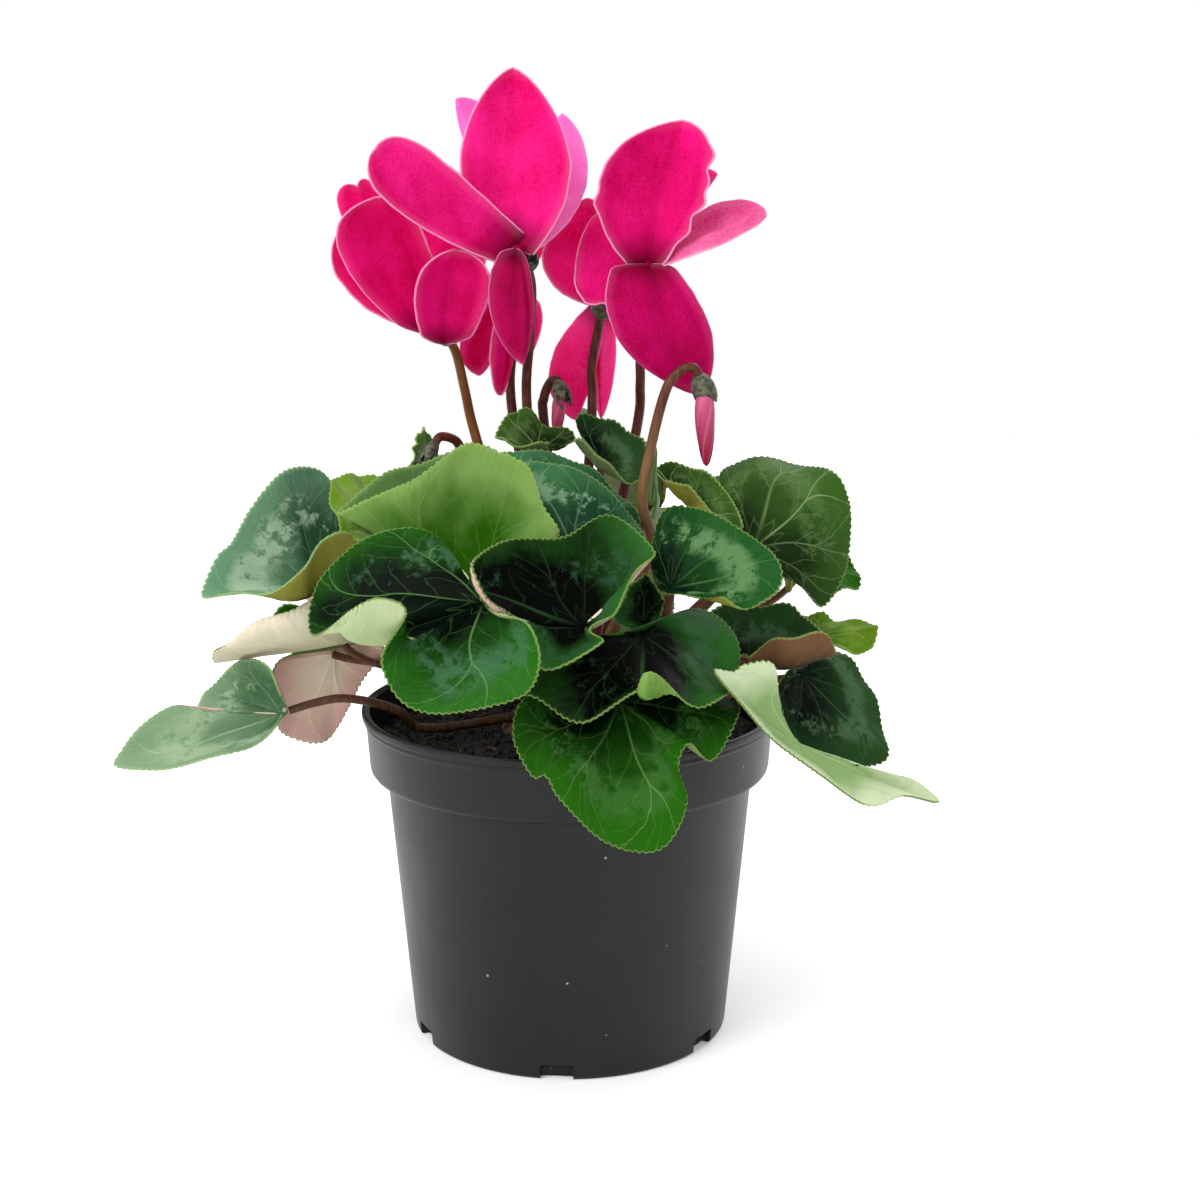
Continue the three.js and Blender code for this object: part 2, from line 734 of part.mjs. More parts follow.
function tuberTop(x, y, sink) {
  const reach = Math.hypot(x, y) / TUBER_RADIUS;
  return TUBER_CENTRE_HEIGHT + TUBER_HALF_HEIGHT * Math.sqrt(1 - reach * reach) - sink;
}

// Leaf stalk: from the crown of the tuber, outwards and up, into the joint from below

function leafStalkCurve(leaf) {
  const end = vec(leaf.stalkEnd ?? leaf.joint);
  const normal = bladeNormal(leaf);
  if (!leaf.stalkEnd) {
    end.addScaledVector(normal, -BLADE_THICKNESS / 2 - GAP);
  }
  const azimuth = leaf.rootAngle ? THREE.MathUtils.degToRad(leaf.rootAngle) : Math.atan2(end.y, end.x);
  const x = LEAF_ROOT_RING * Math.cos(azimuth);
  const y = LEAF_ROOT_RING * Math.sin(azimuth);
  const root = new THREE.Vector3(x, y, tuberTop(x, y, LEAF_ROOT_DEPTH));
  if (leaf.stalkPath) {
    const points = [root, ...leaf.stalkPath.map(vec), end];
    return new THREE.CatmullRomCurve3(points, false, 'catmullrom', 0.5);
  }
  const span = root.distanceTo(end);
  const outward = new THREE.Vector3(x, y, LEAF_ROOT_RING * LEAF_ROOT_SLOPE).normalize();
  const below = root.clone().sub(end).normalize();
  if (!leaf.stalkEnd) {
    below.sub(normal).normalize();
  }
  return new THREE.CubicBezierCurve3(
    root,
    root.clone().addScaledVector(outward, span * LEAF_STALK_RISE),
    end.clone().addScaledVector(below, span * LEAF_STALK_APPROACH),
    end,
  );
}

// Flower and bud stalks stand in the middle of the crown

function flowerStalkCurve(bloom) {
  const [x, y] = bloom.root;
  const root = new THREE.Vector3(x, y, tuberTop(x, y, FLOWER_ROOT_DEPTH));
  const first = vec(bloom.stalk[0]);
  const { up, out } = FLOWER_STALK_KNEE;
  const knee = new THREE.Vector3(
    root.x + (first.x - root.x) * out,
    root.y + (first.y - root.y) * out,
    root.z + (first.z - root.z) * up,
  );
  return new THREE.CatmullRomCurve3([root, knee, ...bloom.stalk.map(vec)], false, 'catmullrom', 0.5);
}

// Pot

function latheSolid(profile, segments) {
  const lathe = new THREE.LatheGeometry(profile.map(([r, z]) => new THREE.Vector2(r, z)), segments);
  lathe.rotateX(Math.PI / 2);
  return toSolid(lathe);
}

function wallInner(z) {
  const slope = (BODY_TOP_RADIUS - FOOT_RADIUS) / (POT_HEIGHT - COLLAR_HEIGHT);
  return FOOT_RADIUS - WALL + slope * z;
}

function potSolid() {
  const collarFoot = POT_HEIGHT - COLLAR_HEIGHT;
  const innerStep = collarFoot + WALL;
  const lipInner = RIM_RADIUS - LIP_STEP - WALL;
  const [chamferIn, chamferUp] = COLLAR_FOOT_CHAMFER;
  const profile = [
    [0, 0],
    [FOOT_RADIUS, 0],
    [BODY_TOP_RADIUS, collarFoot],
    [COLLAR_FOOT_RADIUS - chamferIn, collarFoot],
    [COLLAR_FOOT_RADIUS, collarFoot + chamferUp],
    [RIM_RADIUS - LIP_STEP, POT_HEIGHT - LIP_HEIGHT],
    [RIM_RADIUS, POT_HEIGHT - LIP_HEIGHT + LIP_CHAMFER],
    [RIM_RADIUS, POT_HEIGHT - LIP_CHAMFER],
    [RIM_RADIUS - LIP_CHAMFER, POT_HEIGHT],
    [lipInner + LIP_CHAMFER, POT_HEIGHT],
    [lipInner, POT_HEIGHT - LIP_CHAMFER],
    [COLLAR_FOOT_RADIUS - WALL, innerStep + chamferUp],
    [wallInner(collarFoot), innerStep],
    [wallInner(FLOOR), FLOOR],
    [0, FLOOR],
  ];
  let pot = latheSolid(profile, POT_SEGMENTS);
  for (let i = 0; i < SLOT_COUNT; i += 1) {
    const angle = SLOT_FIRST_ANGLE + (i * 2 * Math.PI) / SLOT_COUNT;
    const slot = new THREE.BoxGeometry(2 * SLOT_DEPTH, SLOT_WIDTH, 2 * SLOT_HEIGHT);
    slot.translate(FOOT_RADIUS, 0, 0);
    slot.rotateZ(angle);
    pot = pot.subtract(toSolid(slot));
  }
  return pot;
}

// Soil: a plug that follows the wall inside, its top raised into crumbs by a seeded draw

function seededDraw(seed) {
  let state = seed;
  return () => {
    state = (state * 1664525 + 1013904223) % 4294967296;
    return state / 4294967296;
  };
}

function soilGeometry() {
  const draw = seededDraw(SOIL_SEED);
  const collarFoot = POT_HEIGHT - COLLAR_HEIGHT;
  const edgeRadius = COLLAR_FOOT_RADIUS - WALL - 2 * GAP;
  const foot = [
    [wallInner(FLOOR) - GAP, FLOOR + GAP],
    [wallInner(collarFoot) - GAP - SOIL_WALL_CLEARANCE, collarFoot + WALL + GAP],
    [edgeRadius - 2 * SOIL_WALL_CLEARANCE, collarFoot + WALL + 4 * SOIL_WALL_CLEARANCE],
    [edgeRadius, SOIL_EDGE_HEIGHT],
  ];
  const points = [new THREE.Vector3(0, 0, FLOOR + GAP)];
  for (const [radius, z] of foot) {
    for (let i = 0; i < SOIL_SECTORS; i += 1) {
      const angle = (i * 2 * Math.PI) / SOIL_SECTORS;
      points.push(new THREE.Vector3(radius * Math.cos(angle), radius * Math.sin(angle), z));
    }
  }
  for (let ring = 1; ring < SOIL_RINGS; ring += 1) {
    const reach = 1 - ring / SOIL_RINGS;
    const height = SOIL_EDGE_HEIGHT + SOIL_CROWN_RISE * (1 - reach * reach);
    for (let i = 0; i < SOIL_SECTORS; i += 1) {
      const angle = (i * 2 * Math.PI) / SOIL_SECTORS;
      const lift = SOIL_CRUMB * (2 * draw() - 1);
      const radius = edgeRadius * reach;
      points.push(new THREE.Vector3(radius * Math.cos(angle), radius * Math.sin(angle), height + lift));
    }
  }
  points.push(new THREE.Vector3(0, 0, SOIL_EDGE_HEIGHT + SOIL_CROWN_RISE));
  const rings = foot.length + SOIL_RINGS - 1;
  const cell = (ring, i) => 1 + ring * SOIL_SECTORS + (i % SOIL_SECTORS);
  const index = [];
  for (let i = 0; i < SOIL_SECTORS; i += 1) {
    index.push(0, cell(0, i + 1), cell(0, i));
    index.push(cell(rings - 1, i), cell(rings - 1, i + 1), points.length - 1);
    for (let ring = 0; ring < rings - 1; ring += 1) {
      index.push(cell(ring, i), cell(ring, i + 1), cell(ring + 1, i + 1));
      index.push(cell(ring, i), cell(ring + 1, i + 1), cell(ring + 1, i));
    }
  }
  const geometry = new THREE.BufferGeometry();
  geometry.setFromPoints(points);
  geometry.setIndex(index);
  return geometry;
}

// A turned shape moved so that its foot is at a point and its axis runs in a direction

function placedTurning(rows, faces, shift, foot, direction) {
  const lathe = new THREE.LatheGeometry(rows.map(([r, z]) => new THREE.Vector2(r, z)), faces);
  lathe.rotateX(Math.PI / 2);
  const position = lathe.attributes.position;
  for (let i = 0; i < position.count; i += 1) {
    const [x, y, z] = [position.getX(i), position.getY(i), position.getZ(i)];
    position.setXYZ(i, ...shift(x, y, z));
  }
  lathe.applyQuaternion(new THREE.Quaternion().setFromUnitVectors(UP, direction));
  lathe.translate(foot.x, foot.y, foot.z);
  return toSolid(lathe);
}

// Bud: a slim spindle, closed petals wound round it in five low ridges

function budSolid(bud, extra = 0) {
  const base = vec(bud.base);
  const axis = vec(bud.tip).sub(base);
  const length = axis.length();
  const rows = BUD_PROFILE.map(([r, s]) => {
    const end = s === 0 ? -extra : s === 1 ? extra : 0;
    return [r > 0 ? r * bud.radius + extra : 0, s * length + end];
  });
  const wound = (x, y, z) => {
    const angle = Math.atan2(y, x) - (BUD_TWIST * z) / length;
    const ridge = 1 + BUD_RIDGE * Math.cos(PETALS * angle);
    return [x * ridge, y * ridge, z];
  };
  return placedTurning(rows, 2 * PETALS, wound, base, axis.normalize());
}

// Calyx: five pointed green sepals in a cup at the end of a flower stalk

function calyxSolid(end, direction, radius, length) {
  const rows = CALYX_PROFILE.map(([r, s]) => [r * radius, s * length]);
  const [rimRadius, rimHeight] = rows[3];
  const pointed = (x, y, z) => {
    const isRim = Math.abs(Math.hypot(x, y) - rimRadius) < GAP && Math.abs(z - rimHeight) < GAP;
    const between = 1 - Math.abs(Math.cos((PETALS / 2) * Math.atan2(y, x)));
    return [x, y, isRim ? z - between * length * SEPAL_CUT : z];
  };
  return placedTurning(rows, 2 * PETALS, pointed, end, direction);
}

function flowerPetals(flower, extra = 0) {
  const centre = vec(flower.centre);
  const radius = THROAT_RADIUS + extra;
  const throat = toSolid(ballGeometry(centre, radius, radius, THROAT_FACES));
  return flower.petals.reduce(
    (solid, petal) => solid.add(toSolid(petalGeometry(petal, centre, extra))),
    throat,
  );
}

// Colours of the real surfaces

const MATERIALS = {
  pot: { color: 0x2c2d2b, roughness: 0.42, metalness: 0 },
  soil: { color: 0x17110c, roughness: 1, metalness: 0 },
  tuber: { color: 0x5a2f1c, roughness: 0.7, metalness: 0 },
  leaf: { color: 0x2f5a22, roughness: 0.5, metalness: 0 },
  stalk: { color: 0x5b2a1a, roughness: 0.6, metalness: 0 },
  petal: { color: 0xd80a63, roughness: 0.55, metalness: 0 },
};

const plant = new THREE.Group();

function addPiece(name, solid, material) {
  const piece = new THREE.Mesh(toGeometry(solid), new THREE.MeshStandardMaterial(MATERIALS[material]));
  piece.name = name;
  plant.add(piece);
}

const blades = ALL_LEAVES.map((leaf) => toSolid(bladeGeometry(leaf)));

// Flower and bud stalks, with their calyxes, cut clear of the petals that they carry

const stems = [...FLOWERS, ...BUDS].map((bloom) => {
  const curve = flowerStalkCurve(bloom);
  const isBud = !bloom.petals;
  const calyxRadius = isBud ? bloom.radius + BUD_CALYX_MARGIN : CALYX_RADIUS;
  const calyxLength = isBud ? BUD_CALYX_LENGTH : CALYX_LENGTH;
  const calyx = calyxSolid(curve.getPointAt(1), curve.getTangentAt(1), calyxRadius, calyxLength);
  const head = isBud ? budSolid(bloom, GAP) : flowerPetals(bloom, 2 * GAP);
  const stalk = toSolid(stalkGeometry(curve, FLOWER_STALK_RADIUS, FLOWER_STALK_STEPS));
  const room = toSolid(stalkGeometry(curve, FLOWER_STALK_RADIUS + GAP, FLOWER_STALK_STEPS));
  return { name: bloom.name, stem: largestPiece(stalk.add(calyx).subtract(head)), room };
});

// Tuber with the leaf stalks that grow from it, cut clear of the blades and of the flower stalks

let crown = toSolid(ballGeometry(tuberCentre, TUBER_RADIUS, TUBER_HALF_HEIGHT, TUBER_FACES));
for (const leaf of ALL_LEAVES) {
  const stalk = toSolid(stalkGeometry(leafStalkCurve(leaf), LEAF_STALK_RADIUS, LEAF_STALK_STEPS));
  const blade = toSolid(bladeGeometry(leaf, GAP));
  const touches = stalk.intersect(blade).volume() > 0;
  crown = crown.add(touches ? largestPiece(stalk.subtract(blade)) : stalk);
}
for (const { room } of stems) {
  crown = crown.subtract(room);
}
crown = largestPiece(crown);

const tuberRoom = ballGeometry(tuberCentre, TUBER_RADIUS + GAP, TUBER_HALF_HEIGHT + GAP, TUBER_FACES);
const soil = toSolid(soilGeometry()).subtract(toSolid(tuberRoom));

addPiece('pot', potSolid(), 'pot');
addPiece('soil', soil, 'soil');
addPiece('tuber_and_leaf_stalks', crown, 'tuber');
ALL_LEAVES.forEach((leaf, i) => addPiece(leaf.name, blades[i], 'leaf'));
stems.forEach(({ name, stem }) => addPiece(`${name}_stalk`, stem, 'stalk'));
FLOWERS.forEach((flower) => addPiece(`${flower.name}_petals`, flowerPetals(flower), 'petal'));
BUDS.forEach((bud) => addPiece(`${bud.name}_petals`, budSolid(bud), 'petal'));

export default plant;
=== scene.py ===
# A cyclamen in flower in a plastic nursery pot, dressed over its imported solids.
# Sizes in the sections are in millimetres; MM turns them to the frame's metres.
import math
import random
from functools import partial

import bpy
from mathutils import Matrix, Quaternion, Vector, noise


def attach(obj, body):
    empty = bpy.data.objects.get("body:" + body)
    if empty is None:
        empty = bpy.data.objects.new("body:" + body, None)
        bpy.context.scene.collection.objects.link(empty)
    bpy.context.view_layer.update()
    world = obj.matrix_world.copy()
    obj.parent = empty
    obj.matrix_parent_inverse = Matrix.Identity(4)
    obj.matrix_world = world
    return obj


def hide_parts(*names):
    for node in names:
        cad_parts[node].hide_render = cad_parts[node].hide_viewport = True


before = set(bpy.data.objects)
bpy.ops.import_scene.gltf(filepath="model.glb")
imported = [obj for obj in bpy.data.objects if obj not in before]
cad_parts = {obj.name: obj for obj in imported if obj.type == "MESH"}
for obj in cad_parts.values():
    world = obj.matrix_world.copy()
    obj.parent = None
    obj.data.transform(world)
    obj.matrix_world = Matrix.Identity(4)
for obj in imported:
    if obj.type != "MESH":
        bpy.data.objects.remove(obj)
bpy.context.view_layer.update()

# Studio: a white floor under an even white sky, with one broad soft lamp above and to the left in front
# and a weaker one behind, which lights the petals and blades through from the back.
MM = 0.001
VIEW_FROM = (9.6, -583.0, 259.0)
VIEW_DOWN = 11.82
LENS = 57.39
SENSOR_WIDTH = 36
FLOOR_SIZE = 3000
SKY_STRENGTH = 1.0
LAMP_AIM_HEIGHT = 150


def linear(colour):
    """The linear colour of an sRGB hex value."""
    parts = [int(colour[i:i + 2], 16) / 255 for i in (1, 3, 5)]
    return tuple(c / 12.92 if c <= 0.04045 else ((c + 0.055) / 1.055) ** 2.4 for c in parts) + (1.0,)


def feed(node, inputs):
    """Sets or links a node's inputs: a list fills the shown ones in order, a dictionary names them. A value
    is plain, a colour in hex, a socket, or a node, which stands for its factor or its first shown output."""
    if isinstance(inputs, dict):
        pairs = [(node.inputs[name], value) for name, value in inputs.items()]
    else:
        pairs = zip([socket for socket in node.inputs if socket.enabled], inputs)
    for socket, value in pairs:
        if isinstance(value, bpy.types.Node):
            shown = [output for output in value.outputs if output.enabled]
            value = value.outputs.get("Fac") or shown[0]
        if isinstance(value, bpy.types.NodeSocket):
            node.id_data.links.new(value, socket)
        else:
            socket.default_value = linear(value) if isinstance(value, str) else value


def add_node(tree, kind, inputs=(), **settings):
    """Adds a node with its settings and inputs. A kind without Node in its name is a shader node's, one in
    capitals is an operation of the Math node, and Mix mixes colours."""
    if kind.isupper():
        kind, settings = "Math", {"operation": kind}
    elif kind == "Mix":
        settings = {"data_type": "RGBA"}
    node = tree.nodes.new(kind if "Node" in kind else "ShaderNode" + kind)
    for name, value in settings.items():
        setattr(node, name, value)
    feed(node, inputs)
    return node


def per_metre(size):
    """The scale of a pattern whose marks are size millimetres across."""
    return 1 / (size * MM)


def new_material(name, **shader_values):
    """A material, the function that adds nodes to it, its Principled shader and the object's coordinates."""
    material = bpy.data.materials.new(name)
    material.use_nodes = True
    tree = material.node_tree
    shader = tree.nodes["Principled BSDF"]
    feed(shader, shader_values)
    return material, partial(add_node, tree), shader, add_node(tree, "TexCoord").outputs["Object"]


def new_object(name, points, faces, materials, smooth=True):
    """An object at the origin from points in millimetres and faces of point numbers."""
    mesh = bpy.data.meshes.new(name)
    mesh.from_pydata([Vector(p) * MM for p in points], [], faces)
    mesh.polygons.foreach_set("use_smooth", [smooth] * len(mesh.polygons))
    for material in materials:
        mesh.materials.append(material)
    mesh.update()
    made = bpy.data.objects.new(name, mesh)
    bpy.context.scene.collection.objects.link(made)
    return made


scene = bpy.context.scene
scene.view_settings.view_transform = "Standard"

# White card is matt. A little light of its own keeps it as pale as the photograph's floor.
white_board, _, shader, _ = new_material("white_board", Roughness=0.9)
feed(shader, {"Base Color": "#fbfbfb", "Emission Color": (1, 1, 1, 1), "Emission Strength": 0.1})
half = FLOOR_SIZE / 2
floor_corners = [(-half, -half, 0), (half, -half, 0), (half, half, 0), (-half, half, 0)]
floor = new_object("floor", floor_corners, [(0, 1, 2, 3)], [white_board])

sky = bpy.data.worlds.new("white_sky")
sky.use_nodes = True
feed(sky.node_tree.nodes["Background"], {"Color": (1, 1, 1, 1), "Strength": SKY_STRENGTH})
scene.world = sky

for name, place, width, power in (
    ("front_softbox", (-800, -900, 1200), 800, 16.0),
    ("back_softbox", (500, 900, 1100), 900, 7.0),
):
    lamp = bpy.data.lights.new(name, "AREA")
    lamp.size = width * MM
    lamp.energy = power
    holder = bpy.data.objects.new(name, lamp)
    holder.location = Vector(place) * MM
    aim = Vector((0, 0, LAMP_AIM_HEIGHT * MM)) - holder.location
    holder.rotation_euler = aim.to_track_quat("-Z", "Y").to_euler()
    scene.collection.objects.link(holder)

camera = bpy.data.objects.new("camera", bpy.data.cameras.new("camera"))
camera.data.lens = LENS
camera.data.sensor_width = SENSOR_WIDTH
camera.location = Vector(VIEW_FROM) * MM
camera.rotation_euler = (math.radians(90 - VIEW_DOWN), 0, 0)
scene.collection.objects.link(camera)
scene.camera = camera

# Pot: a 13 cm nursery pot of black polypropylene, moulded in one piece, with a rolled lip,
# a deep collar and six drainage slots cut through the corner of wall and floor.
RIM_RADIUS = 65
POT_HEIGHT = 104
COLLAR_FOOT_HEIGHT = 84.2
COLLAR_FOOT_RADIUS = 62.6
BODY_TOP_RADIUS = 57.6
FOOT_RADIUS = 50
POT_WALL = 1.5
POT_FLOOR = 2.4
POT_SEGMENTS = 200
ARC_STEPS = 4
SLOT_COUNT = 6
SLOT_SIZE = (18, 10, 10)
SLOT_CUT = 3
SLOT_ROUNDING = 0.8
SLOT_FIRST_ANGLE = math.radians(-94)
SHARP_ANGLE = math.radians(38)


def rounded_profile(corners):
    """The profile with each inner corner (radius, height, rounding) turned into a short arc."""
    profile = [tuple(corners[0][:2])]
    for before, corner, after in zip(corners, corners[1:], corners[2:]):
        here = Vector(corner[:2])
        rounding = corner[2]
        start = here + (Vector(before[:2]) - here).normalized() * rounding
        end = here + (Vector(after[:2]) - here).normalized() * rounding
        for i in range(ARC_STEPS + 1):
            t = i / ARC_STEPS
            profile.append(tuple(start * (1 - t) ** 2 + here * 2 * t * (1 - t) + end * t ** 2))
    profile.append(tuple(corners[-1][:2]))
    return profile


def turned_object(name, profile, segments, materials):
    """A closed turned body from a profile that starts and ends on the axis, going round it outwards."""
    points = [(0, 0, profile[0][1])]
    for radius, height in profile[1:-1]:
        for i in range(segments):
            angle = 2 * math.pi * i / segments
            points.append((radius * math.cos(angle), radius * math.sin(angle), height))
    points.append((0, 0, profile[-1][1]))
    rings = len(profile) - 2
    last = len(points) - 1
    faces = []
    for i in range(segments):
        j = (i + 1) % segments
        faces.append((0, 1 + j, 1 + i))
        for ring in range(rings - 1):
            low = 1 + ring * segments
            high = low + segments
            faces.append((low + i, low + j, high + j, high + i))
        top = 1 + (rings - 1) * segments
        faces.append((top + i, top + j, last))
    return new_object(name, points, faces, materials)


def baked(source, name):
    """A plain mesh object of what the modifiers make of source, which is removed."""
    bpy.context.view_layer.update()
    graph = bpy.context.evaluated_depsgraph_get()
    mesh = bpy.data.meshes.new_from_object(source.evaluated_get(graph))
    mesh.name = name
    made = bpy.data.objects.new(name, mesh)
    scene.collection.objects.link(made)
    bpy.data.objects.remove(source)
    return made


# Moulded polypropylene keeps a soft sheen: the broad sky shows in it as a grey haze towards its edges,
# over cloudy patches, a few specks of dust and a moulding grain, which is drawn coarser than it is.
polypropylene, add, shader, place = new_material("black_polypropylene", IOR=1.49)
haze = add("TexNoise", [place, per_metre(28.6), 4])
grain = add("TexNoise", [place, per_metre(0.3846), 2])
dust = add("TexVoronoi", [place, per_metre(5.88)])
speck = add("MapRange", [dust, 0.05, 0.085, 1, 0])
rare = add("SeparateColor", [dust.outputs["Color"]])
chosen = add("GREATER_THAN", [rare.outputs["Red"], 0.9])
dusty = add("MULTIPLY", [speck, chosen])
body_colour = add("Mix", [haze, "#020403", "#0f1712"])
pot_colour = add("Mix", [dusty, body_colour, "#8d908c"])
pot_rough = add("MapRange", [haze, 0.3, 0.7, 0.34, 0.44])
pot_bump = add("Bump", {"Height": grain, "Strength": 0.25, "Distance": 0.00015})
feed(shader, {
    "Base Color": pot_colour, "Roughness": pot_rough, "Normal": pot_bump, "Specular IOR Level": 0.3,
})

wall_slope = (BODY_TOP_RADIUS - FOOT_RADIUS) / COLLAR_FOOT_HEIGHT
inner_foot = FOOT_RADIUS - POT_WALL + wall_slope * POT_FLOOR
pot_profile = rounded_profile([
    (0, 0),
    (FOOT_RADIUS, 0, 1.2),
    (BODY_TOP_RADIUS, COLLAR_FOOT_HEIGHT, 0.6),
    (COLLAR_FOOT_RADIUS, COLLAR_FOOT_HEIGHT, 2.2),
    (RIM_RADIUS - 1.3, POT_HEIGHT - 4.4, 0.5),
    (RIM_RADIUS - 0.7, POT_HEIGHT - 3.9, 0.3),
    (RIM_RADIUS - 0.9, POT_HEIGHT - 2.6, 0.3),
    (RIM_RADIUS, POT_HEIGHT - 2.2, 0.4),
    (RIM_RADIUS, POT_HEIGHT, 0.7),
    (RIM_RADIUS - 1.1, POT_HEIGHT, 0.4),
    (RIM_RADIUS - 1.3, POT_HEIGHT - 0.6, 0.25),
    (RIM_RADIUS - 2.4, POT_HEIGHT - 0.7, 0.3),
    (COLLAR_FOOT_RADIUS - POT_WALL, COLLAR_FOOT_HEIGHT + 3, 0.8),
    (BODY_TOP_RADIUS - POT_WALL, COLLAR_FOOT_HEIGHT + POT_WALL, 0.6),
    (inner_foot, POT_FLOOR, 1),
    (0, POT_FLOOR),
])
pot_blank = turned_object("pot_blank", pot_profile, POT_SEGMENTS, [polypropylene])
cutters = []
for i in range(SLOT_COUNT):
    angle = SLOT_FIRST_ANGLE + 2 * math.pi * i / SLOT_COUNT
    turn = Quaternion((0, 0, 1), angle)
    corners = []
    for x in (-SLOT_CUT, SLOT_SIZE[0] / 2):
        for y in (-1, 1):
            for z in (-1, 1):
                corner = Vector((FOOT_RADIUS + x, y * SLOT_SIZE[1] / 2, z * SLOT_SIZE[2] / 2))
                corners.append(turn @ corner)
    box_faces = [(0, 1, 3, 2), (4, 6, 7, 5), (0, 4, 5, 1), (2, 3, 7, 6), (0, 2, 6, 4), (1, 5, 7, 3)]
    cutter = new_object(f"slot_cutter_{i}", corners, box_faces, [polypropylene], smooth=False)
    rounding = cutter.modifiers.new("rounding", "BEVEL")
    rounding.width = SLOT_ROUNDING * MM
    rounding.segments = 3
    cutters.append(baked(cutter, f"slot_{i}"))
    cut = pot_blank.modifiers.new("slot", "BOOLEAN")
    cut.object = cutters[-1]
    cut.solver = "EXACT"
pot = baked(pot_blank, "moulded_pot")
for cutter in cutters:
    bpy.data.objects.remove(cutter)
pot.data.set_sharp_from_angle(angle=SHARP_ANGLE)
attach(pot, "root")
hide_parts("pot")

# Soil: dark peat pressed into the pot to a little under the lip, its top broken into crumbs,
# with a few pale fibres and grains. Crumbs are scattered over the top by a seeded rule.
SOIL_FOOT_HEIGHT = 2.7
SOIL_EDGE_HEIGHT = 93
SOIL_CROWN_RISE = 4
SOIL_EDGE_RADIUS = 60.5
SOIL_RINGS = 46
SOIL_SECTORS = 150
CRUMB_SIZE = 1.5
CRUMBS_PER_SQUARE_METRE = 160000

# Damp milled peat is matt and nearly black, in clods of a few millimetres with paler fibres between.
peat, add, shader, place = new_material("damp_peat", Roughness=0.95)
clods = add("TexNoise", [place, per_metre(3.846), 6])
flecks = add("TexNoise", [place, per_metre(1.923), 2])
fleck_part = add("MapRange", [flecks, 0.66, 0.74])
peat_tone = add("Mix", [clods, "#040302", "#19130d"])
peat_colour = add("Mix", [fleck_part, peat_tone, "#6b5a48"])
peat_bump = add("Bump", {"Height": clods, "Strength": 0.8, "Distance": 0.001})
feed(shader, {"Base Color": peat_colour, "Normal": peat_bump})

soil_profile = [
    (0, SOIL_FOOT_HEIGHT),
    (inner_foot - 0.5, SOIL_FOOT_HEIGHT),
    (BODY_TOP_RADIUS - POT_WALL - 0.9, COLLAR_FOOT_HEIGHT + 1.6),
    (59.3, COLLAR_FOOT_HEIGHT + 4),
]
for ring in range(SOIL_RINGS):
    reach = 1 - ring / SOIL_RINGS
    soil_profile.append((SOIL_EDGE_RADIUS * reach, SOIL_EDGE_HEIGHT + SOIL_CROWN_RISE * (1 - reach * reach)))
soil_profile.append((0, SOIL_EDGE_HEIGHT + SOIL_CROWN_RISE))
plug = turned_object("soil_plug", soil_profile, SOIL_SECTORS, [peat])
for vertex in plug.data.vertices:
    level = vertex.co / MM
    if level.z < SOIL_EDGE_HEIGHT - 0.5:
        continue
    coarse = noise.noise(level * 0.12)
    fine = noise.noise(level * 0.55 + Vector((7, 3, 1)))
    vertex.co.z += (1.4 * coarse + 0.9 * fine) * MM


def new_group(name, **sockets):
    """A Geometry Nodes group, the function that adds nodes to it, and the sockets of its named inputs."""
    group = bpy.data.node_groups.new(name, "GeometryNodeTree")
    for socket, kind in {"Geometry": "Geometry", **sockets}.items():
        label = socket.replace("_", " ")
        group.interface.new_socket(label, in_out="INPUT", socket_type="NodeSocket" + kind)
    group.interface.new_socket("Geometry", in_out="OUTPUT", socket_type="NodeSocketGeometry")
    return group, partial(add_node, group), add_node(group, "NodeGroupInput").outputs


def end_group(add, geometry, material):
    """Makes what a group placed real, gives it its material and puts it out."""
    solid = add("GeometryNodeRealizeInstances", [geometry])
    coated = add("GeometryNodeSetMaterial", {"Geometry": solid, "Material": material})
    add("NodeGroupOutput", [coated])


scatter, add, given = new_group("crumbs_over_soil", Density="Float", Crumb_size="Float", Material="Material")
height = add("GeometryNodeInputPosition")
level = add("SeparateXYZ", [height])
on_top = add("FunctionNodeCompare", {
    0: level.outputs["Z"], 1: (SOIL_EDGE_HEIGHT - 3) * MM,
}, data_type="FLOAT", operation="GREATER_THAN")
spots = add("GeometryNodeDistributePointsOnFaces", {
    "Mesh": given["Geometry"], "Selection": on_top, "Density": given["Density"], "Seed": 5,
})
crumb = add("GeometryNodeMeshIcoSphere", {"Radius": given["Crumb size"], "Subdivisions": 1})
stretch = add("FunctionNodeRandomValue", {
    0: (0.3, 0.3, 0.25), 1: (1.3, 0.9, 0.8), "Seed": 11,
}, data_type="FLOAT_VECTOR")
spin = add("FunctionNodeRandomValue", {
    0: (0.0, 0.0, 0.0), 1: (6.28, 6.28, 6.28), "Seed": 12,
}, data_type="FLOAT_VECTOR")
strewn = add("GeometryNodeInstanceOnPoints", {
    "Points": spots, "Instance": crumb, "Rotation": spin, "Scale": stretch,
})
joined = add("GeometryNodeJoinGeometry", [strewn])
scatter.links.new(given["Geometry"], joined.inputs[0])
end_group(add, joined, given["Material"])


def set_inputs(modifier, group, values):
    """Sets a modifier's inputs, given by name, by their identifiers."""
    for item in group.interface.items_tree:
        if item.item_type == "SOCKET" and item.in_out == "INPUT" and item.name in values:
            modifier[item.identifier] = values[item.name]


crumbs = plug.modifiers.new("crumbs", "NODES")
crumbs.node_group = scatter
set_inputs(crumbs, scatter, {
    "Density": float(CRUMBS_PER_SQUARE_METRE), "Crumb size": CRUMB_SIZE * MM, "Material": peat,
})
soil = baked(plug, "potting_soil")
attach(soil, "root")
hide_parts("soil")

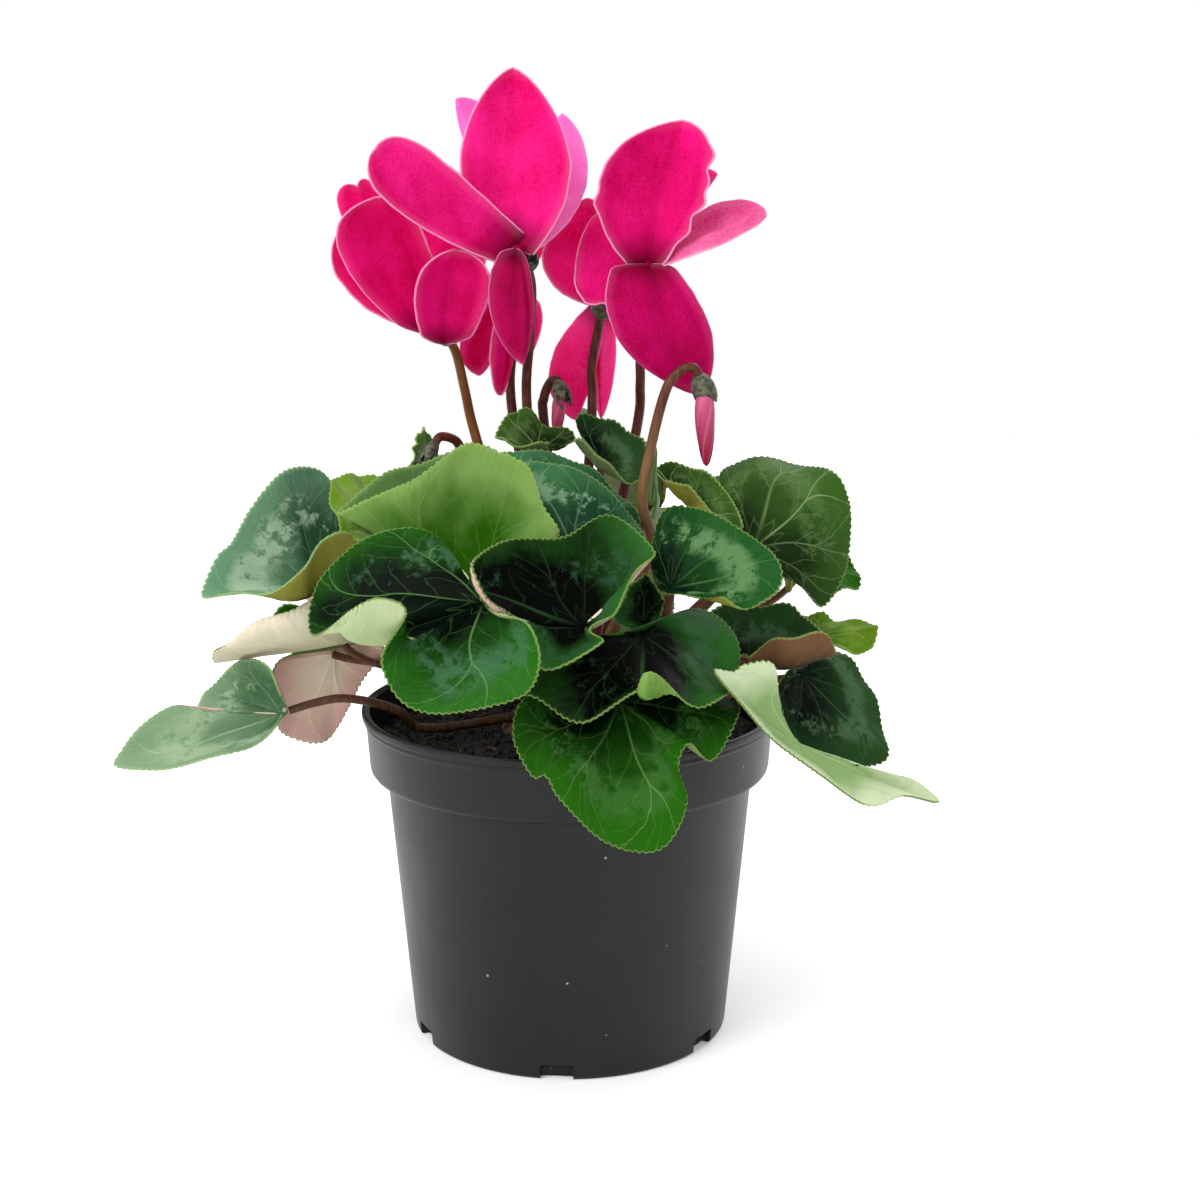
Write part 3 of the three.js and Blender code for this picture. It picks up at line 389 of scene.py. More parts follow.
# Tuber: a flattened ball of starchy flesh under a corky skin, grown half sunk in the peat.
# Every stalk grows from its crown.
TUBER_RADIUS = 23
TUBER_HALF_HEIGHT = 15
TUBER_CENTRE_HEIGHT = 92
TUBER_SIDES = 80

# Corky bark is matt and brown, finely cracked, and darker in its hollows.
cork, add, shader, place = new_material("corky_tuber", Roughness=0.85)
bark = add("TexNoise", [place, per_metre(5.556), 8])
bark_colour = add("Mix", [bark, "#23120b", "#6f4a34"])
bark_bump = add("Bump", {"Height": bark, "Strength": 0.7, "Distance": 0.001})
feed(shader, {"Base Color": bark_colour, "Normal": bark_bump})


def ball_profile(radius, half_height, centre_height, steps):
    """The profile of a flattened ball from its lowest point to its highest."""
    profile = [(0, centre_height - half_height)]
    for i in range(1, steps):
        angle = math.pi * (i / steps - 0.5)
        profile.append((radius * math.cos(angle), centre_height + half_height * math.sin(angle)))
    return [*profile, (0, centre_height + half_height)]


tuber_profile = ball_profile(TUBER_RADIUS, TUBER_HALF_HEIGHT, TUBER_CENTRE_HEIGHT, 40)
tuber = turned_object("tuber", tuber_profile, TUBER_SIDES, [cork])
for vertex in tuber.data.vertices:
    swell = 0.4 * noise.noise(vertex.co / MM * 0.2) + 0.25 * noise.noise(vertex.co / MM * 0.7)
    vertex.co += vertex.normal * (swell - 0.4) * MM
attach(tuber, "root")
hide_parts("tuber_and_leaf_stalks")

# Leaf blades: heart-shaped and leathery, marbled with silver between pale veins above, toothed and pale
# along the margin. Each one spreads from its joint with the stalk, and some are curled or folded over.
BLADE_THICKNESS = 0.6
MARGIN_WAVE = 0.9
MARGIN_WAVES = 7
NOTCH_DEPTH = 0.3
NOTCH_LENGTH = 3
SPOKE_PULL = 0.5
MARGIN_SAMPLES = 600
TOOTH_PITCH = 1.9
TOOTH_DEPTH = 0.55
TOOTH_BITES = (0.0, 1.0, 0.45)
INNER_RINGS = 13
INNER_REACH = 0.88
OUTER_REACHES = (0.93, 0.97, 1.0)
MAIN_VEINS = 7
VEIN_WANDER = 0.16
VEIN_BENDS = 7
VEIN_SHIFT = 2.4
FORK_START = 0.6
FORK_SPREAD = 0.8
VEIN_GROOVE = 0.25
BRANCH_SPACING = 6.4
BRANCH_SLANT = 1.1
QUILTING = 0.5
QUILT_EDGE = 3.5
MARGIN_FADE = 5
SHORTEST_SPAN = 4

LEAVES = [
    dict(upper="spring_green", under="fresh", joint=(-23, -36, 147), tip=(-65, -46, 172), dome=0,
        left=[(-46, -52, 181, 0.9), (-35, -50, 188, 0.9), (-25, -46, 192, 0.8), (-13, -44, 187),
            (-7, -46, 176), (-2, -48, 166)],
        right=[(-56, -38, 180), (-47, -30, 183), (-36, -22, 186), (-23, -16, 187), (-16, -14, 180),
            (-11, -16, 168)]),
    dict(upper="dark", under="pale", joint=(-22, -76, 152), tip=(-28, -98, 127), dome=4,
        left=[(-11, -98, 131), (-6, -101, 142), (-9, -99, 151), (-19, -87, 152), (-25, -72, 158)],
        right=[(-42, -96, 129), (-48, -93, 140), (-41, -99, 155, 0.6, -14, 4, -14),
            (-47, -100, 158, 0.5, -21, 6, -20), (-56, -95, 154, 0.5, -30, 6, -17), (-70, -70, 142),
            (-69, -62, 154), (-59, -62, 166), (-46, -63, 170), (-35, -63, 168)]),
    dict(upper="black", under="rose", joint=(5, -79, 146), tip=(-24, -91, 166, 0.9), dome=-3,
        left=[(-21, -94, 159, 0.9), (-13, -85, 149, 0.7), (-5, -93, 138), (10, -90, 144)],
        right=[(-17, -76, 169), (-1, -66, 169), (12, -57, 173), (25, -64, 165), (19, -70, 159),
            (14, -79, 150)]),
    dict(upper="silver", under="olive", joint=(29, -62, 153), tip=(59, -76, 161), dome=4, root_angle=-42,
        left=[(54, -66, 167), (42, -56, 173), (33, -50, 175), (26, -51, 171), (24, -55, 161)],
        right=[(55, -82, 154), (48, -82, 152), (42, -78, 154), (34, -72, 153)]),
    dict(upper="black", under="fresh", joint=(21, -70, 142), tip=(22, -105, 140, 1.5), dome=3,
        left=[(32, -97, 130, 0.9), (40, -92, 128), (46, -77, 129), (48, -66, 138), (38, -57, 147)],
        right=[(18, -101, 133, 0.9), (6, -95, 124), (-5, -91, 127), (-11, -86, 131), (-5, -78, 138),
            (9, -74, 141)]),
    dict(upper="mid", under="green", joint=(15, -78, 125), tip=(26, -94, 88), dome=3,
        left=[(33, -93, 100), (31, -89, 110), (34, -86, 115), (40, -87, 111), (46, -81, 118), (47, -73, 124),
            (32, -70, 126)],
        right=[(11, -94, 90), (-1, -93, 101), (-5, -92, 108), (-9, -90, 107), (-14, -88, 118),
            (-11, -82, 127), (3, -74, 127)]),
    dict(upper="olive", under="olive", joint=(54, -38, 160), tip=(81, -20, 178), dome=4,
        left=[(69, -8, 181, 0.8), (53, -8, 182, 0.8), (45, -16, 176)],
        right=[(84, -22, 167), (82, -32, 153), (74, -42, 144), (65, -44, 152)]),
    dict(upper="blue_green", under="olive", joint=(-73, -26, 146), tip=(-105, -44, 147), dome=4,
        left=[(-93, -48, 149), (-82, -52, 151, 0.9), (-74, -54, 157, 0.9), (-69, -50, 165, 0.9),
            (-62, -44, 165, 0.9), (-61, -34, 155, 0.9)],
        right=[(-102, -40, 157), (-98, -36, 161), (-93, -27, 171), (-84, -18, 180), (-75, -10, 180),
            (-69, -8, 168), (-68, -12, 157)]),
    dict(upper="mid", under="cream", joint=(-69, -12, 126), tip=(-104, -36, 126), dome=0,
        left=[(-101, -42, 132, 0.9), (-92, -46, 138, 1.0), (-80, -44, 144, 1.1), (-70, -38, 145, 1),
            (-65, -28, 138)],
        right=[(-99, -24, 129), (-93, -14, 133), (-87, -10, 137), (-77, -4, 135), (-69, -4, 131)]),
    dict(upper="mid", under="rose", joint=(-73, -6, 121), tip=(-82, -14, 95), dome=3,
        left=[(-89, -17, 100), (-90, -21, 112), (-89, -20, 121), (-82, -13, 123)],
        right=[(-74, -10, 95), (-69, -6, 104), (-62, -6, 115), (-57, -6, 123), (-63, -4, 125)]),
    dict(upper="grey_green", under="pink", joint=(-85, -32, 109), tip=(-132, -48, 98), dome=3, notch=1.5,
        stalk_end=(-83, -32, 110),
        stalk_path=[(-43, -16, 100), (-51, -22, 107), (-59, -26, 111), (-68, -29, 113), (-76, -31, 112)],
        left=[(-121, -50, 97), (-106, -50, 100), (-94, -46, 102), (-86, -40, 107)],
        right=[(-128, -44, 105), (-117, -38, 113), (-110, -35, 112), (-110, -20, 113), (-105, -20, 118),
            (-94, -36, 127), (-87, -42, 126, 0.8), (-84, -40, 117, 0.8)]),
    dict(upper="yellow_green", under="olive", joint=(-59, -18, 161), tip=(-72, -10, 176), dome=3,
        left=[(-70, -22, 170), (-65, -32, 163), (-56, -34, 160)],
        right=[(-67, 2, 176), (-61, 10, 174), (-54, 8, 167)]),
    dict(upper="olive", under="green", joint=(-9, -3, 184), tip=(-18, 2, 195), dome=2, root_angle=160,
        left=[(-22, -6, 190), (-19, -12, 188), (-11, -13, 187), (-6, -9, 188)],
        right=[(-13, 5, 196), (-6, 4, 191), (2, 2, 189), (0, 0, 185)]),
    dict(upper="slate", under="green", joint=(10, 1, 179), tip=(20, -11, 175), dome=2, root_angle=70,
        left=[(24, -6, 179), (23, 1, 187), (16, 5, 191), (9, 6, 194), (2, 5, 193)],
        right=[(13, -11, 180, 0.8), (7, -10, 186, 0.8), (2, -5, 188)]),
    dict(upper="bright", under="fresh", joint=(-46, 22, 173), tip=(-46, 18, 189), dome=1,
        left=[(-48, 14, 185), (-49, 14, 182), (-50, 14, 174)],
        right=[(-44, 22, 184), (-42, 26, 177)]),
    dict(upper="teal", under="pale", joint=(1, -28, 167), tip=(-19, -20, 186), dome=2,
        left=[(-15, -23, 183), (-8, -28, 173), (-2, -31, 164)],
        right=[(-10, -17, 186), (2, -15, 183), (10, -15, 178), (17, -17, 171), (22, -19, 165),
            (18, -26, 159)]),
    dict(upper="teal", under="pale", joint=(2, -43, 161), tip=(-11, -27, 184), dome=2,
        left=[(-11, -29, 176), (-9, -31, 164), (-5, -34, 157)],
        right=[(-2, -27, 183), (7, -27, 180), (15, -30, 173), (21, -35, 166), (23, -40, 161),
            (15, -46, 156)]),
    dict(upper="olive", under="olive", joint=(36, -24, 170), tip=(50, -50, 169), dome=3,
        left=[(46, -34, 177), (40, -24, 181), (33, -16, 182), (26, -12, 180)],
        right=[(44, -46, 170), (39, -34, 174), (34, -28, 178), (29, -22, 177)]),
    dict(upper="slate", under="brown", joint=(52, -54, 131), tip=(76, -60, 135), dome=0,
        left=[(69, -46, 142), (65, -42, 144), (56, -42, 145), (45, -46, 145), (37, -54, 143), (38, -58, 138)],
        right=[(72, -72, 142, 0.9), (64, -74, 143, 0.9), (57, -70, 140, 0.9), (51, -64, 135)]),
    dict(upper="slate", under="green", joint=(68, -44, 124), tip=(92, -44, 97), dome=4,
        left=[(94, -38, 104), (91, -34, 114), (87, -32, 122), (80, -32, 128), (72, -34, 128)],
        right=[(76, -54, 101), (64, -58, 109), (60, -58, 119), (62, -52, 126)]),
    dict(upper="mid", under="rolled", joint=(64, -70, 111), tip=(109, -46, 86), dome=0, notch=32.6, wave=0,
        stalk_end=(51, -76, 127),
        left=[(97, -56, 91), (86, -62, 90), (71, -71, 102), (57, -78, 114), (47, -86, 127), (40, -87, 136)],
        right=[(102, -48, 93), (93, -52, 96), (83, -57, 101), (66, -64, 108), (59, -70, 122), (57, -75, 135),
            (49, -79, 136)]),
    dict(upper="yellow_green", under="green", joint=(75, 12, 122), tip=(99, 18, 122), dome=2,
        left=[(98, 22, 125), (88, 24, 125), (81, 22, 128), (74, 20, 127)],
        right=[(96, 14, 117), (88, 8, 119), (79, 4, 123)]),
    dict(upper="mid", under="green", joint=(77, 52, 136), tip=(97, 44, 133), dome=2,
        left=[(95, 52, 139), (90, 62, 143), (80, 66, 143)],
        right=[(89, 38, 132), (80, 40, 131)]),
    dict(upper="black", under="pink", joint=(22, -46, 140), tip=(22, -49, 155), dome=1,
        left=[(16, -52, 149), (13, -54, 143)],
        right=[(26, -50, 151), (28, -48, 145)]),
]

# Far leaves: the photograph doesn't show that side, so each has the shape of a leaf in front, given by
# its number, turned round the pot by some degrees and lowered by some millimetres.
FAR_LEAVES = [
    (4, 180, 4), (2, 192, 16), (5, 212, 12), (8, -84, 10), (7, 60, 13),
    (6, 165, 0), (20, 80, 16), (7, 100, -8), (3, 250, 8), (16, 170, 32),
    (20, 190, 8), (20, 140, 16), (12, 170, 16), (17, 140, 0), (4, 150, 8),
]
for number, leaf in enumerate(LEAVES, 1):
    leaf["name"] = f"leaf_{number:02d}"
ALL_LEAVES = list(LEAVES)
for like, turn, drop in FAR_LEAVES:
    swing = Quaternion((0, 0, 1), math.radians(turn))
    moved = dict(LEAVES[like - 1], name=f"leaf_{len(ALL_LEAVES) + 1}")
    for part in ("stalk_end", "root_angle", "stalk_path"):
        moved.pop(part, None)
    for part in ("joint", "tip", "left", "right"):
        several = part in ("left", "right")
        found = []
        for p in moved[part] if several else [moved[part]]:
            place = swing @ Vector(p[:3]) - Vector((0, 0, drop))
            bend = tuple(swing @ Vector(p[4:])) if len(p) > 4 else ()
            found.append((*place, *p[3:4], *bend))
        moved[part] = found if several else found[0]
    ALL_LEAVES.append(moved)


def blade_loop(leaf):
    """The margin's corner points: tip, one side, the notch at the stalk, the other side back."""
    joint = Vector(leaf["joint"])
    lobes = (Vector(leaf["left"][-1][:3]) + Vector(leaf["right"][-1][:3])) / 2
    forward = (Vector(leaf["tip"][:3]) - joint).normalized()
    back = lobes - joint
    depth = leaf.get("notch", max(back.length * NOTCH_DEPTH, NOTCH_LENGTH))
    away = -forward if back.dot(forward) > 0 else back.normalized()
    notch = tuple(joint + away * depth)
    corners = [leaf["tip"], *leaf["left"], notch, *reversed(leaf["right"])]
    return [tuple(p) + (SPOKE_PULL, 0, 0, 0)[len(p) - 3:] for p in corners]


def blade_normal(leaf):
    """The direction that the upper face has at the joint."""
    joint = Vector(leaf["joint"])
    arms = [Vector(p[:3]) - joint for p in blade_loop(leaf)]
    normal = Vector((0, 0, 0))
    for i, arm in enumerate(arms):
        normal += arm.cross(arms[(i + 1) % len(arms)])
    return normal.normalized()


def between(p0, p1, p2, p3, u):
    """A smooth curve through four values, at u of the way from the second to the third."""
    slope_in = (p2 - p0) / 2
    slope_out = (p3 - p1) / 2
    cubic = 2 * p1 - 2 * p2 + slope_in + slope_out
    square = 3 * p2 - 3 * p1 - 2 * slope_in - slope_out
    return p1 + u * (slope_in + u * (square + u * cubic))


def loop_value(values, t):
    """A smooth closed curve through rows of values, at t counted in rows."""
    start = math.floor(t)
    four_rows = [values[(start + k) % len(values)] for k in (-1, 0, 1, 2)]
    return [between(*four, t - start) for four in zip(*four_rows)]


def margin_columns(loop):
    """Places at even steps along the margin, some to each tooth, and the margin's length."""
    fine = [Vector(loop_value(loop, i / MARGIN_SAMPLES * len(loop))[:3]) for i in range(MARGIN_SAMPLES + 1)]
    walked = [0.0]
    for before, here in zip(fine, fine[1:]):
        walked.append(walked[-1] + (here - before).length)
    girth = walked[-1]
    count = len(TOOTH_BITES) * 2 * round(girth / TOOTH_PITCH / 2)
    turns = []
    step = 0
    for i in range(count):
        goal = girth * i / count
        while walked[step + 1] < goal:
            step += 1
        part = (goal - walked[step]) / (walked[step + 1] - walked[step])
        turns.append((step + part) / MARGIN_SAMPLES)
    return turns, girth


def vein_distance(angle, reach, girth):
    """How far a place on the blade is from the nearest main vein, in millimetres."""
    spaces = (angle - 2 * math.pi if angle > math.pi else angle) * MAIN_VEINS / (2 * math.pi)
    index = round(spaces)
    wander = VEIN_WANDER * reach * math.sin(reach * VEIN_BENDS + index * VEIN_SHIFT)
    aside = abs(spaces - index + wander)
    return abs(aside - max(0, reach - FORK_START) * FORK_SPREAD) * reach * girth / MAIN_VEINS


def sheet_normals(points, cells):
    """The normals of a middle surface at its points."""
    normals = [Vector((0, 0, 0)) for _ in points]
    for cell in cells:
        a, b, c = (points[i] for i in (cell[0], cell[1], cell[-1]))
        direction = (b - a).cross(c - a)
        for i in cell:
            normals[i] += direction
    return [n.normalized() for n in normals]


def thick_sheet(name, points, cells, edge, thickness, materials):
    """A closed sheet: cells on both faces of a middle surface, and a wall round its edge."""
    count = len(points)
    normals = sheet_normals(points, cells)
    both = [p + n * thickness / 2 for p, n in zip(points, normals)]
    both += [p - n * thickness / 2 for p, n in zip(points, normals)]
    faces = list(cells)
    faces += [tuple(i + count for i in reversed(cell)) for cell in cells]
    for i, a in enumerate(edge):
        b = edge[(i + 1) % len(edge)]
        faces.append((a, a + count, b + count, b))
    made = new_object(name, both, faces, materials)
    slots = [0] * len(cells) + [len(materials) - 1] * len(cells) + [0] * len(edge)
    made.data.polygons.foreach_set("material_index", slots)
    return made


def write_attribute(made, name, values):
    """Writes one number for each point, which a material reads by the name."""
    layer = made.data.attributes.new(name, "FLOAT", "POINT")
    layer.data.foreach_set("value", values)


def ring_cells(low, count):
    """Cells between a ring of count points, the first of which is low, and the next ring."""
    steps = [(i, (i + 1) % count) for i in range(count)]
    return [(low + i, low + count + i, low + count + j, low + j) for i, j in steps]


def make_blade(leaf, materials):
    """A leaf blade with toothed margin and sunken veins; its attributes place the patterns on it."""
    loop = blade_loop(leaf)
    joint = Vector(leaf["joint"])
    normal = blade_normal(leaf)
    turns, girth = margin_columns(loop)
    draw = random.Random(int(leaf["name"][-2:]))
    columns = []
    for i, turn in enumerate(turns):
        value = loop_value(loop, turn * len(loop))
        arm = Vector(value[:3]) - joint
        arm += normal * leaf.get("wave", MARGIN_WAVE) * math.sin(MARGIN_WAVES * 2 * math.pi * turn)
        bite = TOOTH_BITES[i % len(TOOTH_BITES)] * TOOTH_DEPTH * draw.uniform(0.6, 1.3)
        span = arm.length
        arm *= 1 - bite / max(span, SHORTEST_SPAN)
        flat = arm - normal * arm.dot(normal)
        bend = joint + flat * value[3] + normal * leaf["dome"] + Vector(value[4:])
        columns.append((bend, joint + arm, span, 2 * math.pi * i / len(turns)))
    inner = len(columns) // 2
    rings = [(INNER_REACH * ((k + 1) / INNER_RINGS) ** 0.9, 2) for k in range(INNER_RINGS)]
    rings += [(reach, 1) for reach in OUTER_REACHES]
    points = [joint.copy()]
    places = [(0.0, 0.0, 10.0)]
    for reach, skip in rings:
        rest = 1 - reach
        for bend, end, span, angle in columns[::skip]:
            points.append(joint * rest * rest + bend * 2 * rest * reach + end * reach * reach)
            places.append((angle, reach, rest * span))
    cells = [(0, 1 + i, 1 + (i + 1) % inner) for i in range(inner)]
    for k in range(INNER_RINGS - 1):
        cells += ring_cells(1 + k * inner, inner)
    low = 1 + (INNER_RINGS - 1) * inner
    high = low + inner
    for i in range(inner):
        j = (i + 1) % inner
        cells.append((low + i, high + 2 * i, high + 2 * i + 1))
        cells.append((low + i, high + 2 * i + 1, low + j))
        cells.append((low + j, high + 2 * i + 1, high + 2 * j))
    outer = len(columns)
    for k in range(len(OUTER_REACHES) - 1):
        cells += ring_cells(high + k * outer, outer)
    edge = list(range(len(points) - outer, len(points)))
    normals = sheet_normals(points, cells)
    for i, (angle, reach, gap) in enumerate(places):
        away = vein_distance(angle, reach, girth)
        inside = min(1, gap / MARGIN_FADE) * min(1, reach * 6)
        groove = math.exp(-(away ** 2)) * VEIN_GROOVE
        swell = (1 - math.exp(-((away / QUILT_EDGE) ** 2))) * QUILTING * noise.noise(points[i] * 0.18)
        points[i] = points[i] + normals[i] * (swell - groove) * inside
    blade = thick_sheet(leaf["name"] + "_blade", points, cells, edge, BLADE_THICKNESS, materials)
    radius = girth / (2 * math.pi)
    write_attribute(blade, "disc_x", [radius * reach * math.cos(angle) for angle, reach, _ in places * 2])
    write_attribute(blade, "disc_y", [radius * reach * math.sin(angle) for angle, reach, _ in places * 2])
    write_attribute(blade, "reach", [reach for _, reach, _ in places * 2])
    write_attribute(blade, "margin_gap", [gap for _, _, gap in places * 2])
    return blade


def vein_pattern(add, place, width):
    """1 on the main veins, less on the side branches, 0 between them; then the place's reach and angle."""
    x = add("Attribute", attribute_name="disc_x")
    y = add("Attribute", attribute_name="disc_y")
    reach = add("Attribute", attribute_name="reach")
    disc = add("CombineXYZ", [x, y])
    radius = add("VectorMath", [disc], operation="LENGTH")
    angle = add("ARCTAN2", [y, x])
    spaces = add("MULTIPLY", [angle, MAIN_VEINS / (2 * math.pi)])
    index = add("ROUND", [spaces])
    bends = add("MULTIPLY", [reach, VEIN_BENDS])
    phase = add("MULTIPLY_ADD", [index, VEIN_SHIFT, bends])
    swing = add("SINE", [phase])
    limit = add("MULTIPLY", [reach, VEIN_WANDER])
    offset = add("SUBTRACT", [spaces, index])
    shifted = add("MULTIPLY_ADD", [swing, limit, offset])
    aside = add("ABSOLUTE", [shifted])
    fork = add("MapRange", [reach, FORK_START, 1.0, 0, (1 - FORK_START) * FORK_SPREAD])
    from_fork = add("SUBTRACT", [aside, fork])
    gap = add("ABSOLUTE", [from_fork])
    spacing = add("MULTIPLY", [radius, 2 * math.pi / MAIN_VEINS])
    gap_mm = add("MULTIPLY", [gap, spacing])
    half_width = add("MapRange", [reach, 0.1, 0.95, width, width * 0.4])
    chosen = add("MULTIPLY", [index, 1.9])
    uneven = add("COSINE", [chosen])
    strength = add("MapRange", [uneven, -1.0, 1.0, 0.25, 1.0])
    grown = add("MapRange", [reach, 0.02, 0.22, 0.0, strength])
    main_line = add("MapRange", [gap_mm, 0.05, half_width, grown, 0.0])
    shift = add("TexNoise", [place, per_metre(9.09), 2])
    wobble = add("MULTIPLY", [shift, 7.0])
    slant = add("MULTIPLY_ADD", [gap_mm, -BRANCH_SLANT, radius])
    along = add("ADD", [slant, wobble])
    branch = add("PINGPONG", [along, BRANCH_SPACING / 2])
    branch_line = add("MapRange", [branch, 0.0, width * 0.55, 0.3, 0.0])
    lines = add("MAXIMUM", [main_line, branch_line])
    return lines, reach, angle


def finish_leaf(add, shader, field, vein, veins, veining, rim, bump, gloss):
    """Lays the veins and a pale rim over the leaf's ground colour and feeds the shader."""
    vein_part = add("MULTIPLY", [veins, veining])
    veined = add("Mix", [vein_part, field, vein])
    edge = add("Attribute", attribute_name="margin_gap")
    rim_part = add("MapRange", [edge, 0.1, 0.5, rim, 0])
    rimmed = add("Mix", [rim_part, veined, "#93ab62"])
    feed(shader, {"Base Color": rimmed, "Normal": bump, "Specular IOR Level": gloss})


def upper_leaf(name, deep, fresh, silver, vein, side, marbling, veining, dark_centre_and_shade_start=0.8):
    """Leathery upper face under a thin wax, which dulls it to a low sheen: a dark centre, the leaf's own deep
    green deepened to near black by painted shade, one side painted darker as shade, silver marbling in a band
    on one side, pale veins and rim, and a pattern of small cells between the veins."""
    material, add, shader, place = new_material(name, IOR=1.42, Roughness=0.42)
    veins, reach, angle = vein_pattern(add, place, 0.6)
    turned = add("SUBTRACT", [angle, math.radians(side)])
    facing = add("COSINE", [turned])
    mottle = add("TexNoise", [place, per_metre(14.29), 6, 0.62])
    blotch = add("TexNoise", [place, per_metre(4.762), 6, 0.72])
    moved = add("MULTIPLY_ADD", [mottle, 0.5, reach])
    off_band = add("SUBTRACT", [moved, 0.9])
    depth = add("ABSOLUTE", [off_band])
    arc = add("MapRange", [depth, 0.08, 0.2, 1.0, 0.0])
    patch_edge = add("MULTIPLY_ADD", [facing, 0.1, blotch])
    patchy = add("MapRange", [patch_edge, 0.48, 0.56, 0, marbling])
    marble = add("MULTIPLY", [arc, patchy])
    # Painted shade: the ground tone darkens towards the joint, past the leaf's own dark centre to near black,
    # and on the side turned away from the given angle.
    centre_and_shaded_side = add("MULTIPLY_ADD", [facing, 0.38, reach])
    field_mix = add("MULTIPLY_ADD", [mottle, 0.9, centre_and_shaded_side])
    field_part = add("MapRange", [field_mix, dark_centre_and_shade_start, dark_centre_and_shade_start + 0.75])
    field = add("Mix", [field_part, deep, fresh])
    marbled = add("Mix", [marble, field, silver])
    cells = add("TexVoronoi", [place, per_metre(2.083)], feature="DISTANCE_TO_EDGE")
    relief = add("MULTIPLY_ADD", [cells, 0.4, veins])
    bump = add("Bump", {"Height": relief, "Strength": 0.35, "Distance": 0.0004})
    finish_leaf(add, shader, marbled, vein, veins, veining, 0.45, bump, 0.04)
    return material


def under_leaf(name, middle, outer, vein, start=0.6):
    """Underside without wax, quite matt: one tone round the stalk, another outwards, and raised veins in
    a third."""
    material, add, shader, place = new_material(name, IOR=1.4, Roughness=0.62)
    veins, reach, _ = vein_pattern(add, place, 0.7)
    mottle = add("TexNoise", [place, per_metre(16.67), 5])
    moved = add("MULTIPLY_ADD", [mottle, 0.8, reach])
    part = add("MapRange", [moved, start, 1.35])
    field = add("Mix", [part, middle, outer])
    bump = add("Bump", {"Height": veins, "Strength": 0.4, "Distance": 0.0005})
    finish_leaf(add, shader, field, vein, veins, 0.55, 0.5, bump, 0.06)
    return material


# The dark and black looks are painted darker than the blades' own green, with deep tones near black: painted
# shade for blades that lie inside the foliage.
UPPER = {name: upper_leaf("leaf_upper_" + name, *look) for name, *look in (
    ("dark", "#000a02", "#225a14", "#41694c", "#679250", 60, 0.5, 0.6, 0.85),
    ("black", "#000300", "#285a20", "#30543a", "#3c6838", 150, 0.45, 0.32, 0.9),
    ("mid", "#011001", "#1e5408", "#3a642e", "#6f9250", 0, 0.5, 0.45, 0.86),
    ("silver", "#02180a", "#1a4a1a", "#6d9562", "#58884c", 20, 0.5, 0.4),
    ("olive", "#122409", "#33531c", "#4f6b3c", "#8aa46c", 40, 0.5, 0.6),
    ("blue_green", "#2a4c30", "#648c6c", "#a8c0a4", "#98bc94", 0, 0.7, 0.6),
    ("slate", "#040d05", "#21401c", "#547454", "#507050", 50, 0.42, 0.4),
    ("teal", "#123620", "#38693f", "#7a9d7c", "#84a886", 60, 0.7, 0.45),
    ("spring_green", "#274a1a", "#577c42", "#7b9a68", "#88a874", 0, 0.6, 0.5),
    ("bright", "#33601c", "#5c8640", "#8fac7c", "#9cb884", 0, 0.5, 0.5),
    ("yellow_green", "#255002", "#5c8218", "#829c42", "#8ea64e", 0, 0.4, 0.5),
    ("grey_green", "#446546", "#7b9775", "#9fb495", "#abbe9d", 0, 0.6, 0.5),
)}
UNDER = {name: under_leaf("leaf_under_" + name, *look) for name, *look in (
    ("fresh", "#265a02", "#6f9048", "#7ea054", 0.95),
    ("pale", "#74934f", "#acb98e", "#bac59e"),
    ("rolled", "#7c9a60", "#bccaa4", "#a6ba8c", 0.9),
    ("cream", "#b4b48c", "#cfc6b2", "#d8d2bc"),
    ("rose", "#e0d2bc", "#cfa49e", "#ece0d0"),
    ("pink", "#c8bba8", "#c09c96", "#dccfc0"),
    ("olive", "#5a5818", "#7c7c34", "#8c8c46"),
    ("brown", "#281f0e", "#64482f", "#6e5238", 0.9),
    ("green", "#3c5a2c", "#687c4e", "#80946a"),
)}

for leaf in ALL_LEAVES:
    blade = make_blade(leaf, [UPPER[leaf["upper"]], UNDER[leaf["under"]]])
    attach(blade, "root")
    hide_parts(leaf["name"])

# Leaf stalks: round, fleshy and red-brown. Each grows from the tuber's crown in a curve and ends
# under its blade's joint.
LEAF_STALK_RADII = (1.5, 1.2)
LEAF_ROOT_RING = 12.5
STALK_GAP = 0.1
LEAF_STALK_SINK = 3
STALK_SIDES = 14
STALK_STEPS = 40


def tuber_top(x, y, sink):
    """The height of the tuber's surface at x, y, less what a stalk is sunk into it."""
    reach = math.hypot(x, y) / TUBER_RADIUS
    return TUBER_CENTRE_HEIGHT + TUBER_HALF_HEIGHT * math.sqrt(1 - reach * reach) - sink


def smooth_path(knots, steps):
    """Points of a smooth open curve through the knots, steps of them between each two."""
    ends = [knots[0] * 2 - knots[1], *knots, knots[-1] * 2 - knots[-2]]
    path = []
    for i in range(1, len(ends) - 2):
        path += [between(*ends[i - 1:i + 3], k / steps) for k in range(steps)]
    return [*path, knots[-1]]


